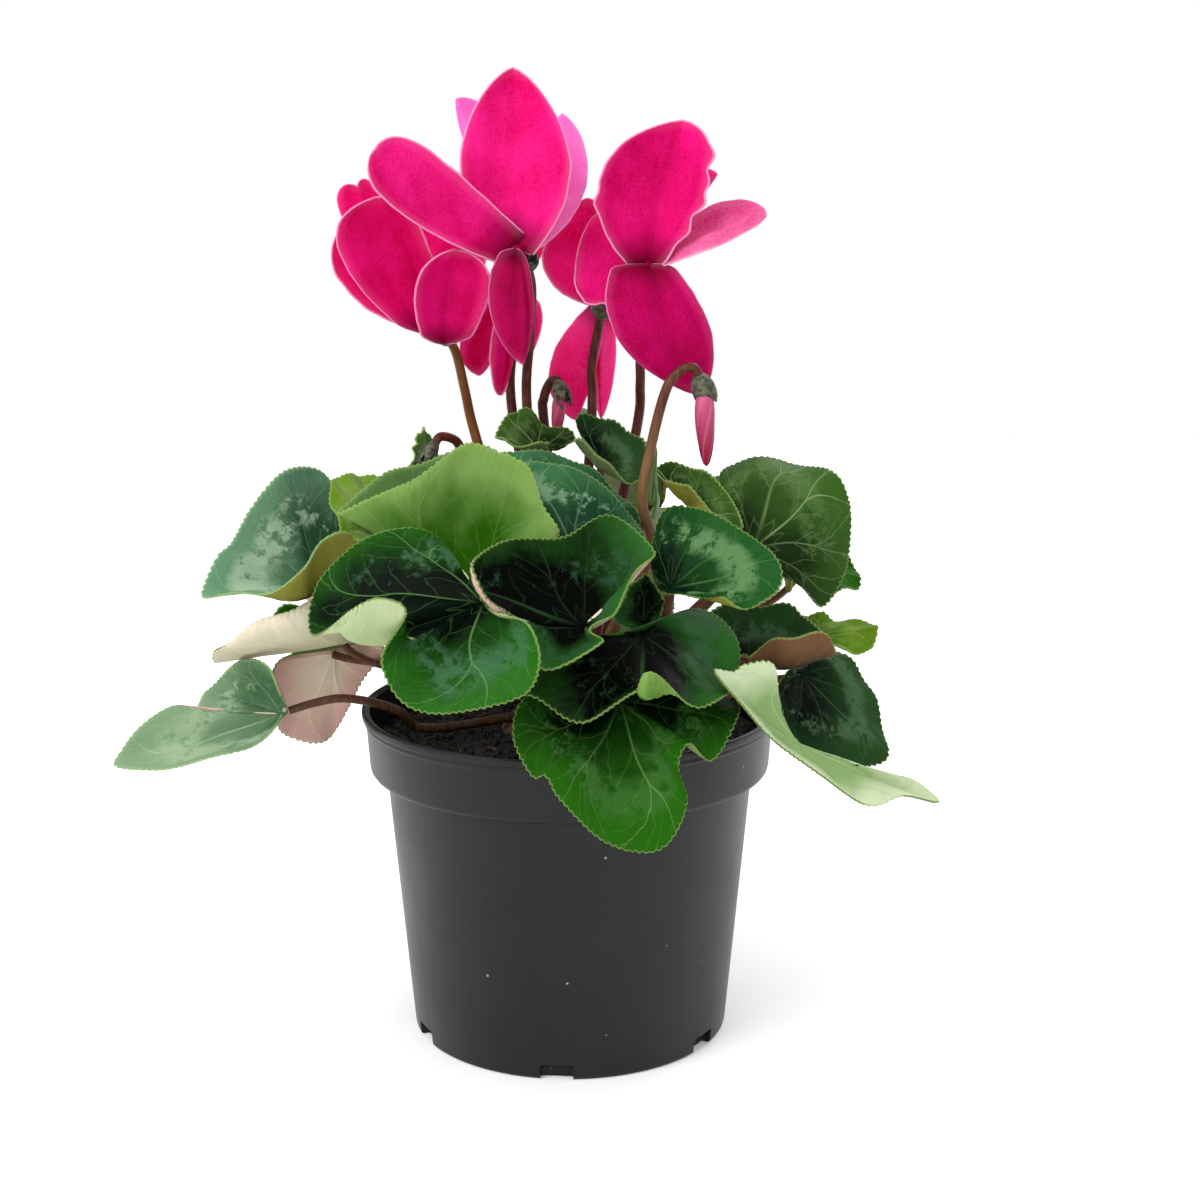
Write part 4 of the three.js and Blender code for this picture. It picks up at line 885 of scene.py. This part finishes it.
def leaf_stalk_path(leaf):
    """The line of a leaf stalk, the same as its solid's."""
    normal = blade_normal(leaf)
    end = Vector(leaf.get("stalk_end", leaf["joint"]))
    if "stalk_end" not in leaf:
        end = end - normal * (BLADE_THICKNESS / 2 + STALK_GAP)
    azimuth = math.radians(leaf["root_angle"]) if "root_angle" in leaf else math.atan2(end.y, end.x)
    x = LEAF_ROOT_RING * math.cos(azimuth)
    y = LEAF_ROOT_RING * math.sin(azimuth)
    root = Vector((x, y, tuber_top(x, y, LEAF_STALK_SINK)))
    if "stalk_path" in leaf:
        return smooth_path([root, *(Vector(p) for p in leaf["stalk_path"]), end], 12)
    span = (end - root).length
    outward = Vector((x, y, LEAF_ROOT_RING * 1.2)).normalized()
    below = (root - end).normalized()
    if "stalk_end" not in leaf:
        below = (below - normal).normalized()
    first = root + outward * span * 0.35
    second = end + below * span * 0.25
    path = []
    for i in range(STALK_STEPS + 1):
        t = i / STALK_STEPS
        s = 1 - t
        path.append(root * s ** 3 + first * 3 * s * s * t + second * 3 * s * t * t + end * t ** 3)
    return path


tubes, add, given = new_group("round_stalks", Sides="Int", Material="Material")
ring = add("GeometryNodeCurvePrimitiveCircle", {"Resolution": given["Sides"], "Radius": 1.0})
width = add("GeometryNodeInputRadius")
tube = add("GeometryNodeCurveToMesh", {
    "Curve": given["Geometry"], "Profile Curve": ring, "Scale": width, "Fill Caps": True,
})
smooth = add("GeometryNodeSetShadeSmooth", [tube])
end_group(add, smooth, given["Material"])


def make_stalks(name, paths, foot_radius, tip_radius, material):
    """Plain mesh of round stalks along the paths, which taper evenly."""
    curve = bpy.data.curves.new(name + "_lines", "CURVE")
    curve.dimensions = "3D"
    for path in paths:
        line = curve.splines.new("POLY")
        line.points.add(len(path) - 1)
        for i, (point, spot) in enumerate(zip(path, line.points)):
            spot.co = (*(point * MM), 1)
            spot.radius = (foot_radius + (tip_radius - foot_radius) * i / (len(path) - 1)) * MM
    lines = bpy.data.objects.new(name + "_lines", curve)
    scene.collection.objects.link(lines)
    modifier = lines.modifiers.new("tubes", "NODES")
    modifier.node_group = tubes
    set_inputs(modifier, tubes, {"Sides": STALK_SIDES, "Material": material})
    return baked(lines, name)


def stalk_skin(name, foot, top, blush, rise_from=0.11, rise_to=0.23):
    """Fleshy stalk skin, half matt under a bloom of hairs too fine to show one by one: one tone low down,
    another above, blushed in patches and streaked along the stalk."""
    material, add, shader, place = new_material(name, IOR=1.4, Roughness=0.45)
    squeeze = add("Mapping", {"Vector": place, "Scale": (1, 1, 0.12)})
    streaks = add("TexNoise", [squeeze, per_metre(1.111), 3])
    patches = add("TexNoise", [place, per_metre(16.67), 2])
    level = add("SeparateXYZ", [place])
    rise = add("MapRange", [level.outputs["Z"], rise_from, rise_to])
    field = add("Mix", [rise, foot, top])
    patch_part = add("MapRange", [patches, 0.45, 0.7, 0, 0.5])
    blushed = add("Mix", [patch_part, field, blush])
    streak_part = add("MapRange", [streaks, 0.5, 0.8, 0, 0.3])
    streaked = add("Mix", [streak_part, blushed, "#9a6a4c"])
    bump = add("Bump", {"Height": streaks, "Strength": 0.3, "Distance": 0.0002})
    feed(shader, {"Base Color": streaked, "Normal": bump, "Specular IOR Level": 0.35})
    return material


# The leaf stalks' foot tone is dark brown up to a little above the pot's lip: painted shade inside the pot,
# over the stalks' own red-brown.
leaf_stalk_skin = stalk_skin("leaf_stalk_skin", "#22140b", "#4e2c18", "#543a20", 0.105, 0.122)
leaf_paths = [leaf_stalk_path(leaf) for leaf in ALL_LEAVES]
leaf_stalks = make_stalks("leaf_stalks", leaf_paths, *LEAF_STALK_RADII, leaf_stalk_skin)
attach(leaf_stalks, "root")
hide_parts("tuber_and_leaf_stalks")

# Flower stalks: round and fleshy, dark red-brown, each bent over at the top and ending
# in a green calyx of five pointed sepals that holds the flower or the bud.
FLOWER_STALK_RADII = (1.68, 1.36)
CALYX_RADIUS = 3.6
CALYX_LENGTH = 4
BUD_CALYX_LENGTH = 7
CALYX_SIDES = 50
SEPAL_RINGS = (5, 6)
FLOWER_STALK_SINK = 2

FLOWERS = [
    dict(name="flower_1", root=(-3, -1), centre=(-15, -11, 244), stalk=[(-13, 12, 194), (-12, 8, 217),
        (-11, 2, 232), (-12, -5, 240)], petals=[
        dict(tip=(-16, -2, 297), left=(-31, -14, 270), right=(1, -10, 269), round=1.7, skin="rosy"),
        dict(tip=(-53, -36, 273), left=(-46, -34, 255), right=(-35, -24, 270), round=3.0, foot=0.6,
            skin="rosy"),
        dict(tip=(-2, 24, 285), left=(-12, 16, 265), right=(5, 14, 262), round=1.9, skin="lit"),
        dict(tip=(-35, 32, 290), left=(-30, 22, 271), right=(-15, 28, 274), round=1.8, skin="lit"),
        dict(tip=(-13, -24, 212), left=(-23, -22, 231), right=(-10, -18, 230), round=2.2, skin="wine",
            shift=(0, -3, 2)),
    ]),
    dict(name="flower_2", stalk_skin="olive", root=(-7.5, 0), centre=(-37, -6, 221), stalk=[(-29, 12, 186),
        (-32, 8, 201), (-34, 4, 212), (-36, -1, 218)], petals=[
        dict(tip=(-52, -28, 260), left=(-64, -28, 242), right=(-40, -20, 246), round=2.8, foot=0.4,
            shift=(0, -3, -3)),
        dict(tip=(-32, -21, 245), left=(-44, -24, 234), right=(-23, -16, 233), round=2.6, foot=0.55,
            shift=(0, -5, -5)),
        dict(tip=(-67, -10, 250), left=(-63, -14, 231), right=(-54, -2, 244), round=2.6),
        dict(tip=(-63, 2, 263), left=(-65, -2, 250), right=(-52, 6, 255), round=2.4),
        dict(tip=(-36, 14, 255), left=(-48, 8, 245), right=(-24, 10, 247), round=2.6),
    ]),
    dict(name="flower_3", root=(-4, 4.5), centre=(-20, 20, 230), stalk=[(-18, 18, 194), (-18, 24, 213),
        (-18, 27, 223), (-19, 25, 227)], petals=[
        dict(tip=(-29, 13, 206), left=(-33, 14, 218), right=(-23, 12, 213), round=2.6, skin="rosy"),
        dict(tip=(-21, 6, 200), left=(-24, 2, 214), right=(-17, 10, 213), round=2.2, skin="rosy"),
        dict(tip=(-12, 14, 212), left=(-16, 12, 223), right=(-9, 16, 227), round=2.2, skin="rosy"),
        dict(tip=(-13, 44, 253), left=(-20, 38, 245), right=(-7, 44, 246), round=2.4),
        dict(tip=(-20, 42, 251), left=(-22, 38, 243), right=(-12, 42, 243), round=2.4),
    ]),
    dict(name="flower_4", root=(6, 4), centre=(24, -5, 239), stalk=[(21, 12, 189), (22, 8, 203), (22, 6, 215),
        (24, 4, 232), (24, 0, 236)], petals=[
        dict(tip=(34, -2, 282), left=(9, -12, 263), right=(41, -10, 263), round=2.9, skin="crimson",
            ruffle=2.2),
        dict(tip=(59, -4, 255), left=(45, -12, 246), right=(44, 4, 258), round=1.8, skin="soft"),
        dict(tip=(39, -13, 202), left=(13, -18, 223), right=(42, -12, 223), round=2.1, foot=0.5, skin="dusky",
            shift=(0, -3, 2)),
        dict(tip=(2, -2, 237), left=(10, -8, 227), right=(11, 6, 254), round=2.2, skin="crimson", ruffle=1.0),
        dict(tip=(46, 28, 267), left=(39, 18, 257), right=(31, 24, 263), round=2.2),
    ]),
    dict(name="flower_5", root=(2, 2.5), centre=(11, 26, 227), stalk=[(7, 16, 192), (7, 20, 207),
        (9, 22, 219), (10, 21, 224)], petals=[
        dict(tip=(-2, 30, 252), left=(-7, 26, 235), right=(10, 32, 255), round=3.0, skin="rosy"),
        dict(tip=(2, 26, 190), left=(-6, 26, 209), right=(11, 32, 214), round=2.4, skin="backlit"),
        dict(tip=(10, 32, 190), left=(7, 38, 208), right=(15, 33, 213), round=2.2, skin="backlit"),
        dict(tip=(22, 38, 248), left=(11, 36, 244), right=(27, 38, 238), round=2.4),
        dict(tip=(24, 34, 218), left=(17, 30, 216), right=(24, 36, 229), round=2.4, skin="backlit"),
    ]),
]
BUDS = [
    dict(name="bud_1", stalk_skin="brown", root=(5.5, -3), radius=3.0, base=(40, -22, 206),
        tip=(41, -23, 182),
        stalk=[(25, -14, 154), (22, -24, 172), (25, -24, 190), (29, -24, 205), (33, -23, 210), (37, -23, 211),
            (39, -22, 207)]),
    dict(name="bud_2", root=(0.5, 7), radius=2.2, base=(-3, 13, 200), tip=(-4, 12, 186),
        stalk=[(-8, 18, 190), (-8, 18, 198), (-6, 17, 203), (-4, 15, 204), (-3, 13, 202)]),
    dict(name="bud_3", root=(-8, 5), radius=1.7, base=(-42, 6, 183), tip=(-43, 6, 174),
        stalk=[(-32, 14, 176), (-34, 12, 183), (-36, 10, 186), (-40, 8, 187), (-42, 6, 184)]),
]


def flower_stalk_path(bloom):
    """The line of a flower or bud stalk, the same as its solid's."""
    x, y = bloom["root"]
    root = Vector((x, y, tuber_top(x, y, FLOWER_STALK_SINK)))
    first = Vector(bloom["stalk"][0])
    rise = root.lerp(first, 0.45)
    rise.x = root.x + (first.x - root.x) * 0.35
    rise.y = root.y + (first.y - root.y) * 0.35
    return smooth_path([root, rise, *(Vector(p) for p in bloom["stalk"])], 8)


STALK_SKINS = {
    "wine": stalk_skin("wine_red_stalk", "#5a2415", "#3e0c02", "#4d170f"),
    "olive": stalk_skin("olive_brown_stalk", "#7a4a1c", "#6c3d18", "#5a2a14"),
    "brown": stalk_skin("brown_stalk", "#705230", "#4a1c10", "#5e3c24", 0.185, 0.2),
}
# A calyx's downy skin is matt, brownish green and finely mottled.
calyx_skin, add, shader, place = new_material("calyx_green", IOR=1.4, Roughness=0.6)
mottle = add("TexNoise", [place, per_metre(1.429), 4])
part = add("MapRange", [mottle, 0.4, 0.6])
tone = add("Mix", [part, "#2c2a20", "#5e604a"])
calyx_bump = add("Bump", {"Height": mottle, "Strength": 0.4, "Distance": 0.0003})
feed(shader, {"Base Color": tone, "Normal": calyx_bump})


def make_calyx(name, end, direction, radius, length):
    """A cup at the end of a stalk, whose rim is drawn out into five pointed sepals."""
    profile = [(0, -0.35), (0.3, -0.34), (0.5, -0.3), (0.85, -0.05), (1.02, 0.25), (1.02, 0.6), (0.94, 1),
               (0.84, 0.98), (0.88, 0.6), (0.8, 0.45), (0, 0.42)]
    made = turned_object(name, [(r * radius, s * length) for r, s in profile], CALYX_SIDES, [calyx_skin])
    turn = Vector((0, 0, 1)).rotation_difference(direction)
    for i, vertex in enumerate(made.data.vertices):
        ring, step = divmod(i - 1, CALYX_SIDES)
        spot = vertex.co / MM
        if ring in SEPAL_RINGS:
            spot.z -= (1 - abs(math.cos(5 * math.pi * step / CALYX_SIDES)) ** 1.3) * 0.6 * length
        vertex.co = (end + turn @ spot) * MM
    return made


def join_all(name, objects):
    """Joins objects into the first one and names it."""
    for made in bpy.context.selected_objects:
        made.select_set(False)
    for made in objects:
        made.select_set(True)
    bpy.context.view_layer.objects.active = objects[0]
    bpy.ops.object.join()
    objects[0].name = name
    objects[0].data.name = name
    return objects[0]


for bloom in [*FLOWERS, *BUDS]:
    path = flower_stalk_path(bloom)
    skin = STALK_SKINS[bloom.get("stalk_skin", "wine")]
    tube = make_stalks(bloom["name"] + "_tube", [path], *FLOWER_STALK_RADII, skin)
    radius = CALYX_RADIUS if "petals" in bloom else bloom["radius"] + 0.5
    length = CALYX_LENGTH if "petals" in bloom else BUD_CALYX_LENGTH
    direction = (path[-1] - path[-3]).normalized()
    calyx = make_calyx(bloom["name"] + "_calyx", path[-1], direction, radius, length)
    stem = join_all(bloom["name"] + "_stem", [tube, calyx])
    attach(stem, "root")
    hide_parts(bloom["name"] + "_stalk")

# Petals: five to a flower, grown together at the throat and swept back from it, thin and velvety. They
# are magenta, deeper towards the throat, with a fine pale line along the edge and fine streaks along
# their length. The calyx on the stalk holds the throat.
PETAL_THICKNESS = 0.5
PETAL_WIDEST = 0.62
PETAL_BASE_WIDTH = 0.3
PETAL_BASE_REACH = 1.4
PETAL_CUP = 0.12
PETAL_BOW = 0.06
PETAL_ROWS = 44
PETAL_COLUMNS = 32
PETAL_FRILL = 0.5
PETAL_FOLD = 0.35
THROAT_RADIUS = 2.2
THROAT_SIDES = 28


def petal_skin(name, throat, field, lit, edge, through):
    """Velvety petal skin, matt because of its tiny raised cells, which are drawn coarser than they are. It
    has cloudy tones and streaks along the petal, and light from behind comes partly through it."""
    material, add, shader, place = new_material(name, IOR=1.38, Roughness=0.6)
    along = add("Attribute", attribute_name="along")
    across = add("Attribute", attribute_name="across")
    rim = add("Attribute", attribute_name="rim_mm")
    grid = add("CombineXYZ", [across, along])
    stretched = add("Mapping", {"Vector": grid, "Scale": (22, 1.3, 1)})
    streaks = add("TexNoise", [stretched, 1.0, 5])
    clouds = add("TexNoise", [place, per_metre(23.81), 5, 0.6])
    fine = add("TexNoise", [place, per_metre(0.6667), 2])
    blend = add("MULTIPLY_ADD", [streaks, 0.17, clouds])
    grained = add("MULTIPLY_ADD", [fine, 0.5, blend])
    part = add("MapRange", [grained, 0.64, 1.08])
    body = add("Mix", [part, field, lit])
    deep = add("MapRange", [along, 0.02, 0.24, 1.0, 0.0])
    rooted = add("Mix", [deep, body, throat])
    soft = add("MapRange", [rim, 0.3, 3.0, 0.1, 0.0])
    softened = add("Mix", [soft, rooted, edge])
    line = add("MapRange", [rim, 0.12, 0.42, 0.8, 0.0])
    lined = add("Mix", [line, softened, edge])
    height = add("MULTIPLY_ADD", [fine, 0.3, streaks])
    bump = add("Bump", {"Height": height, "Strength": 0.25, "Distance": 0.0005})
    feed(shader, {"Base Color": lined, "Normal": bump, "Specular IOR Level": 0.06})
    glow = add("BsdfTranslucent", {"Color": lined, "Normal": bump})
    mixed = add("MixShader", [through, shader, glow])
    feed(material.node_tree.nodes["Material Output"], {"Surface": mixed})
    return material


PETAL_SKINS = {
    "deep": petal_skin("petal_deep_magenta", "#7c0028", "#cc0050", "#f21488", "#ffa0d4", 0.3),
    "rosy": petal_skin("petal_rose_magenta", "#8c0030", "#d80064", "#fc2ca4", "#ffb0dc", 0.35),
    "backlit": petal_skin("petal_backlit_pink", "#b0004c", "#f41488", "#ff58b8", "#ffb8e0", 0.42),
    "wine": petal_skin("petal_wine_red", "#4a0016", "#86002c", "#ac0450", "#e070a8", 0.15),
    "dusky": petal_skin("petal_dusky_magenta", "#6c001e", "#a00040", "#d00870", "#f088c0", 0.2),
    "crimson": petal_skin("petal_crimson", "#7c0028", "#c80058", "#f41c90", "#ffa8d8", 0.3),
    "soft": petal_skin("petal_soft_pink", "#a00044", "#d42c7c", "#f080b8", "#ffc8e4", 0.35),
    "lit": petal_skin("petal_lit_pink", "#ff58b8", "#fa70dc", "#ffa4f2", "#ffdcf8", 0.5),
}


def petal_profile(s, petal):
    """Half width of a petal at s along it, as a part of its widest."""
    if s < PETAL_WIDEST:
        foot = petal.get("foot", PETAL_BASE_WIDTH)
        return foot + (1 - foot) * math.sin(s / PETAL_WIDEST * math.pi / 2)
    fall = (s - PETAL_WIDEST) / (1 - PETAL_WIDEST)
    return math.sqrt(max(0, 1 - fall ** petal["round"]))


def make_petal(name, petal, centre, seed):
    """One petal: rows across a bowed centre line from base to tip, folded and frilled a little."""
    tip, left, right = (Vector(petal[part]) for part in ("tip", "left", "right"))
    base = centre + (tip - centre).normalized() * PETAL_BASE_REACH + Vector(petal.get("shift", (0, 0, 0)))
    across = right - left
    along = tip - base
    normal = across.cross(along).normalized()
    middle = base.lerp(tip, PETAL_WIDEST)
    arms = (left - middle, right - middle)
    cup = across.length * PETAL_CUP
    bow = along.length * PETAL_BOW
    points = []
    places = []
    for row in range(PETAL_ROWS):
        s = 1 - (1 - row / PETAL_ROWS) ** 1.5
        wide = petal_profile(s, petal)
        if "shift" in petal:
            wide *= math.sqrt(min(1, (s + 0.005) / 0.12))
        for column in range(PETAL_COLUMNS + 1):
            v = 2 * column / PETAL_COLUMNS - 1
            arm = arms[0] if v < 0 else arms[1]
            ruffle = noise.noise(Vector((v * 2, s * 9, seed + 5))) * petal.get("ruffle", 0.35) * abs(v) ** 4
            point = base.lerp(tip, s) + arm * wide * abs(v) * (1 + ruffle / max(arm.length, SHORTEST_SPAN))
            frill = PETAL_FRILL * noise.noise(Vector((v * 3, s * 5, seed))) * (abs(v) ** 3) * s
            fold = PETAL_FOLD * math.cos(v * 9 + seed) * math.sin(s * math.pi)
            rise = cup * v * v * wide - bow * 4 * s * (1 - s) + frill * 2 + fold
            points.append(point + normal * rise)
            side = arm.length * wide * (1 - abs(v))
            ahead = along.length * (1 - s)
            places.append((s, v, min(side, ahead)))
    points.append(tip.copy())
    places.append((1, 0, 0))
    last = len(points) - 1
    width = PETAL_COLUMNS + 1
    cells = []
    for row in range(PETAL_ROWS):
        for column in range(PETAL_COLUMNS):
            a = row * width + column
            if row == PETAL_ROWS - 1:
                cells.append((a, a + 1, last))
            else:
                cells.append((a, a + 1, a + width + 1, a + width))
    edge = list(range(width))
    edge += [row * width + PETAL_COLUMNS for row in range(1, PETAL_ROWS)]
    edge.append(last)
    edge += [row * width for row in range(PETAL_ROWS - 1, 0, -1)]
    skins = [PETAL_SKINS[petal.get("skin", "deep")]]
    if petal.get("skin") == "lit":
        skins.append(PETAL_SKINS["soft"])
    made = thick_sheet(name, points, cells, edge, PETAL_THICKNESS, skins)
    for attribute, values in zip(("along", "across", "rim_mm"), zip(*places)):
        write_attribute(made, attribute, values * 2)
    return made


for order, flower in enumerate(FLOWERS):
    centre = Vector(flower["centre"])
    petals = []
    for i, petal in enumerate(flower["petals"]):
        petals.append(make_petal(f"petal_{order}_{i}", petal, centre, order * 7.3 + i * 1.9))
    throat_profile = ball_profile(THROAT_RADIUS, THROAT_RADIUS, 0, 16)
    throat = turned_object(f"throat_{order}", throat_profile, THROAT_SIDES, [PETAL_SKINS["wine"]])
    for vertex in throat.data.vertices:
        vertex.co += centre * MM
    for name, value in (("rim_mm", 9.0), ("along", 0.2)):
        write_attribute(throat, name, [value] * len(throat.data.vertices))
    corolla = join_all(flower["name"] + "_corolla", [*petals, throat])
    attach(corolla, "root")
    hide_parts(flower["name"] + "_petals")

# Buds: slim spindles of closed petals wound round each other, hanging from their calyxes,
# pale beside the calyx and deep pink at the tip.
BUD_WIDEST = 0.35
BUD_TWIST = 2.2
BUD_STEPS = 30
BUD_SIDES = 50

# Closed petals are smooth and nearly matt, with a pale seam where one petal's edge lies on the next.
bud_skin, add, shader, place = new_material("closed_bud_petals", IOR=1.38, Roughness=0.55)
groove = add("Attribute", attribute_name="groove")
run = add("Attribute", attribute_name="along")
fade = add("MapRange", [run, 0.15, 0.8])
length_tone = add("Mix", [fade, "#b84a72", "#8c0034"])
seam = add("Mix", [groove, length_tone, "#d07a9c"])
grain = add("TexNoise", [place, per_metre(1.111), 2])
bud_bump = add("Bump", {"Height": grain, "Strength": 0.2, "Distance": 0.0003})
feed(shader, {"Base Color": seam, "Normal": bud_bump})

for bud in BUDS:
    base = Vector(bud["base"])
    axis = Vector(bud["tip"]) - base
    length = axis.length
    turn = Vector((0, 0, 1)).rotation_difference(axis)
    rows = []
    for i in range(BUD_STEPS + 1):
        s = i / BUD_STEPS
        if s < BUD_WIDEST:
            wide = 0.62 + 0.36 * math.sin(s / BUD_WIDEST * math.pi / 2)
        else:
            wide = 0.98 * math.sqrt(max(0, 1 - ((s - BUD_WIDEST) / (1 - BUD_WIDEST)) ** 1.7))
        rows.append((wide * bud["radius"], s * length))
    made = turned_object(bud["name"] + "_spindle", [(0, 0), *rows[:-1], (0, length)], BUD_SIDES, [bud_skin])
    grooves = []
    runs = []
    for vertex in made.data.vertices:
        spot = vertex.co / MM
        s = spot.z / length
        angle = math.atan2(spot.y, spot.x)
        lobe = abs(math.cos(2.5 * (angle - BUD_TWIST * s)))
        ridge = 0.95 + 0.07 * lobe
        vertex.co = (base + turn @ Vector((spot.x * ridge, spot.y * ridge, spot.z))) * MM
        grooves.append((1 - lobe) ** 5 * 0.5)
        runs.append(s)
    write_attribute(made, "groove", grooves)
    write_attribute(made, "along", runs)
    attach(made, "root")
    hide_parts(bud["name"] + "_petals")
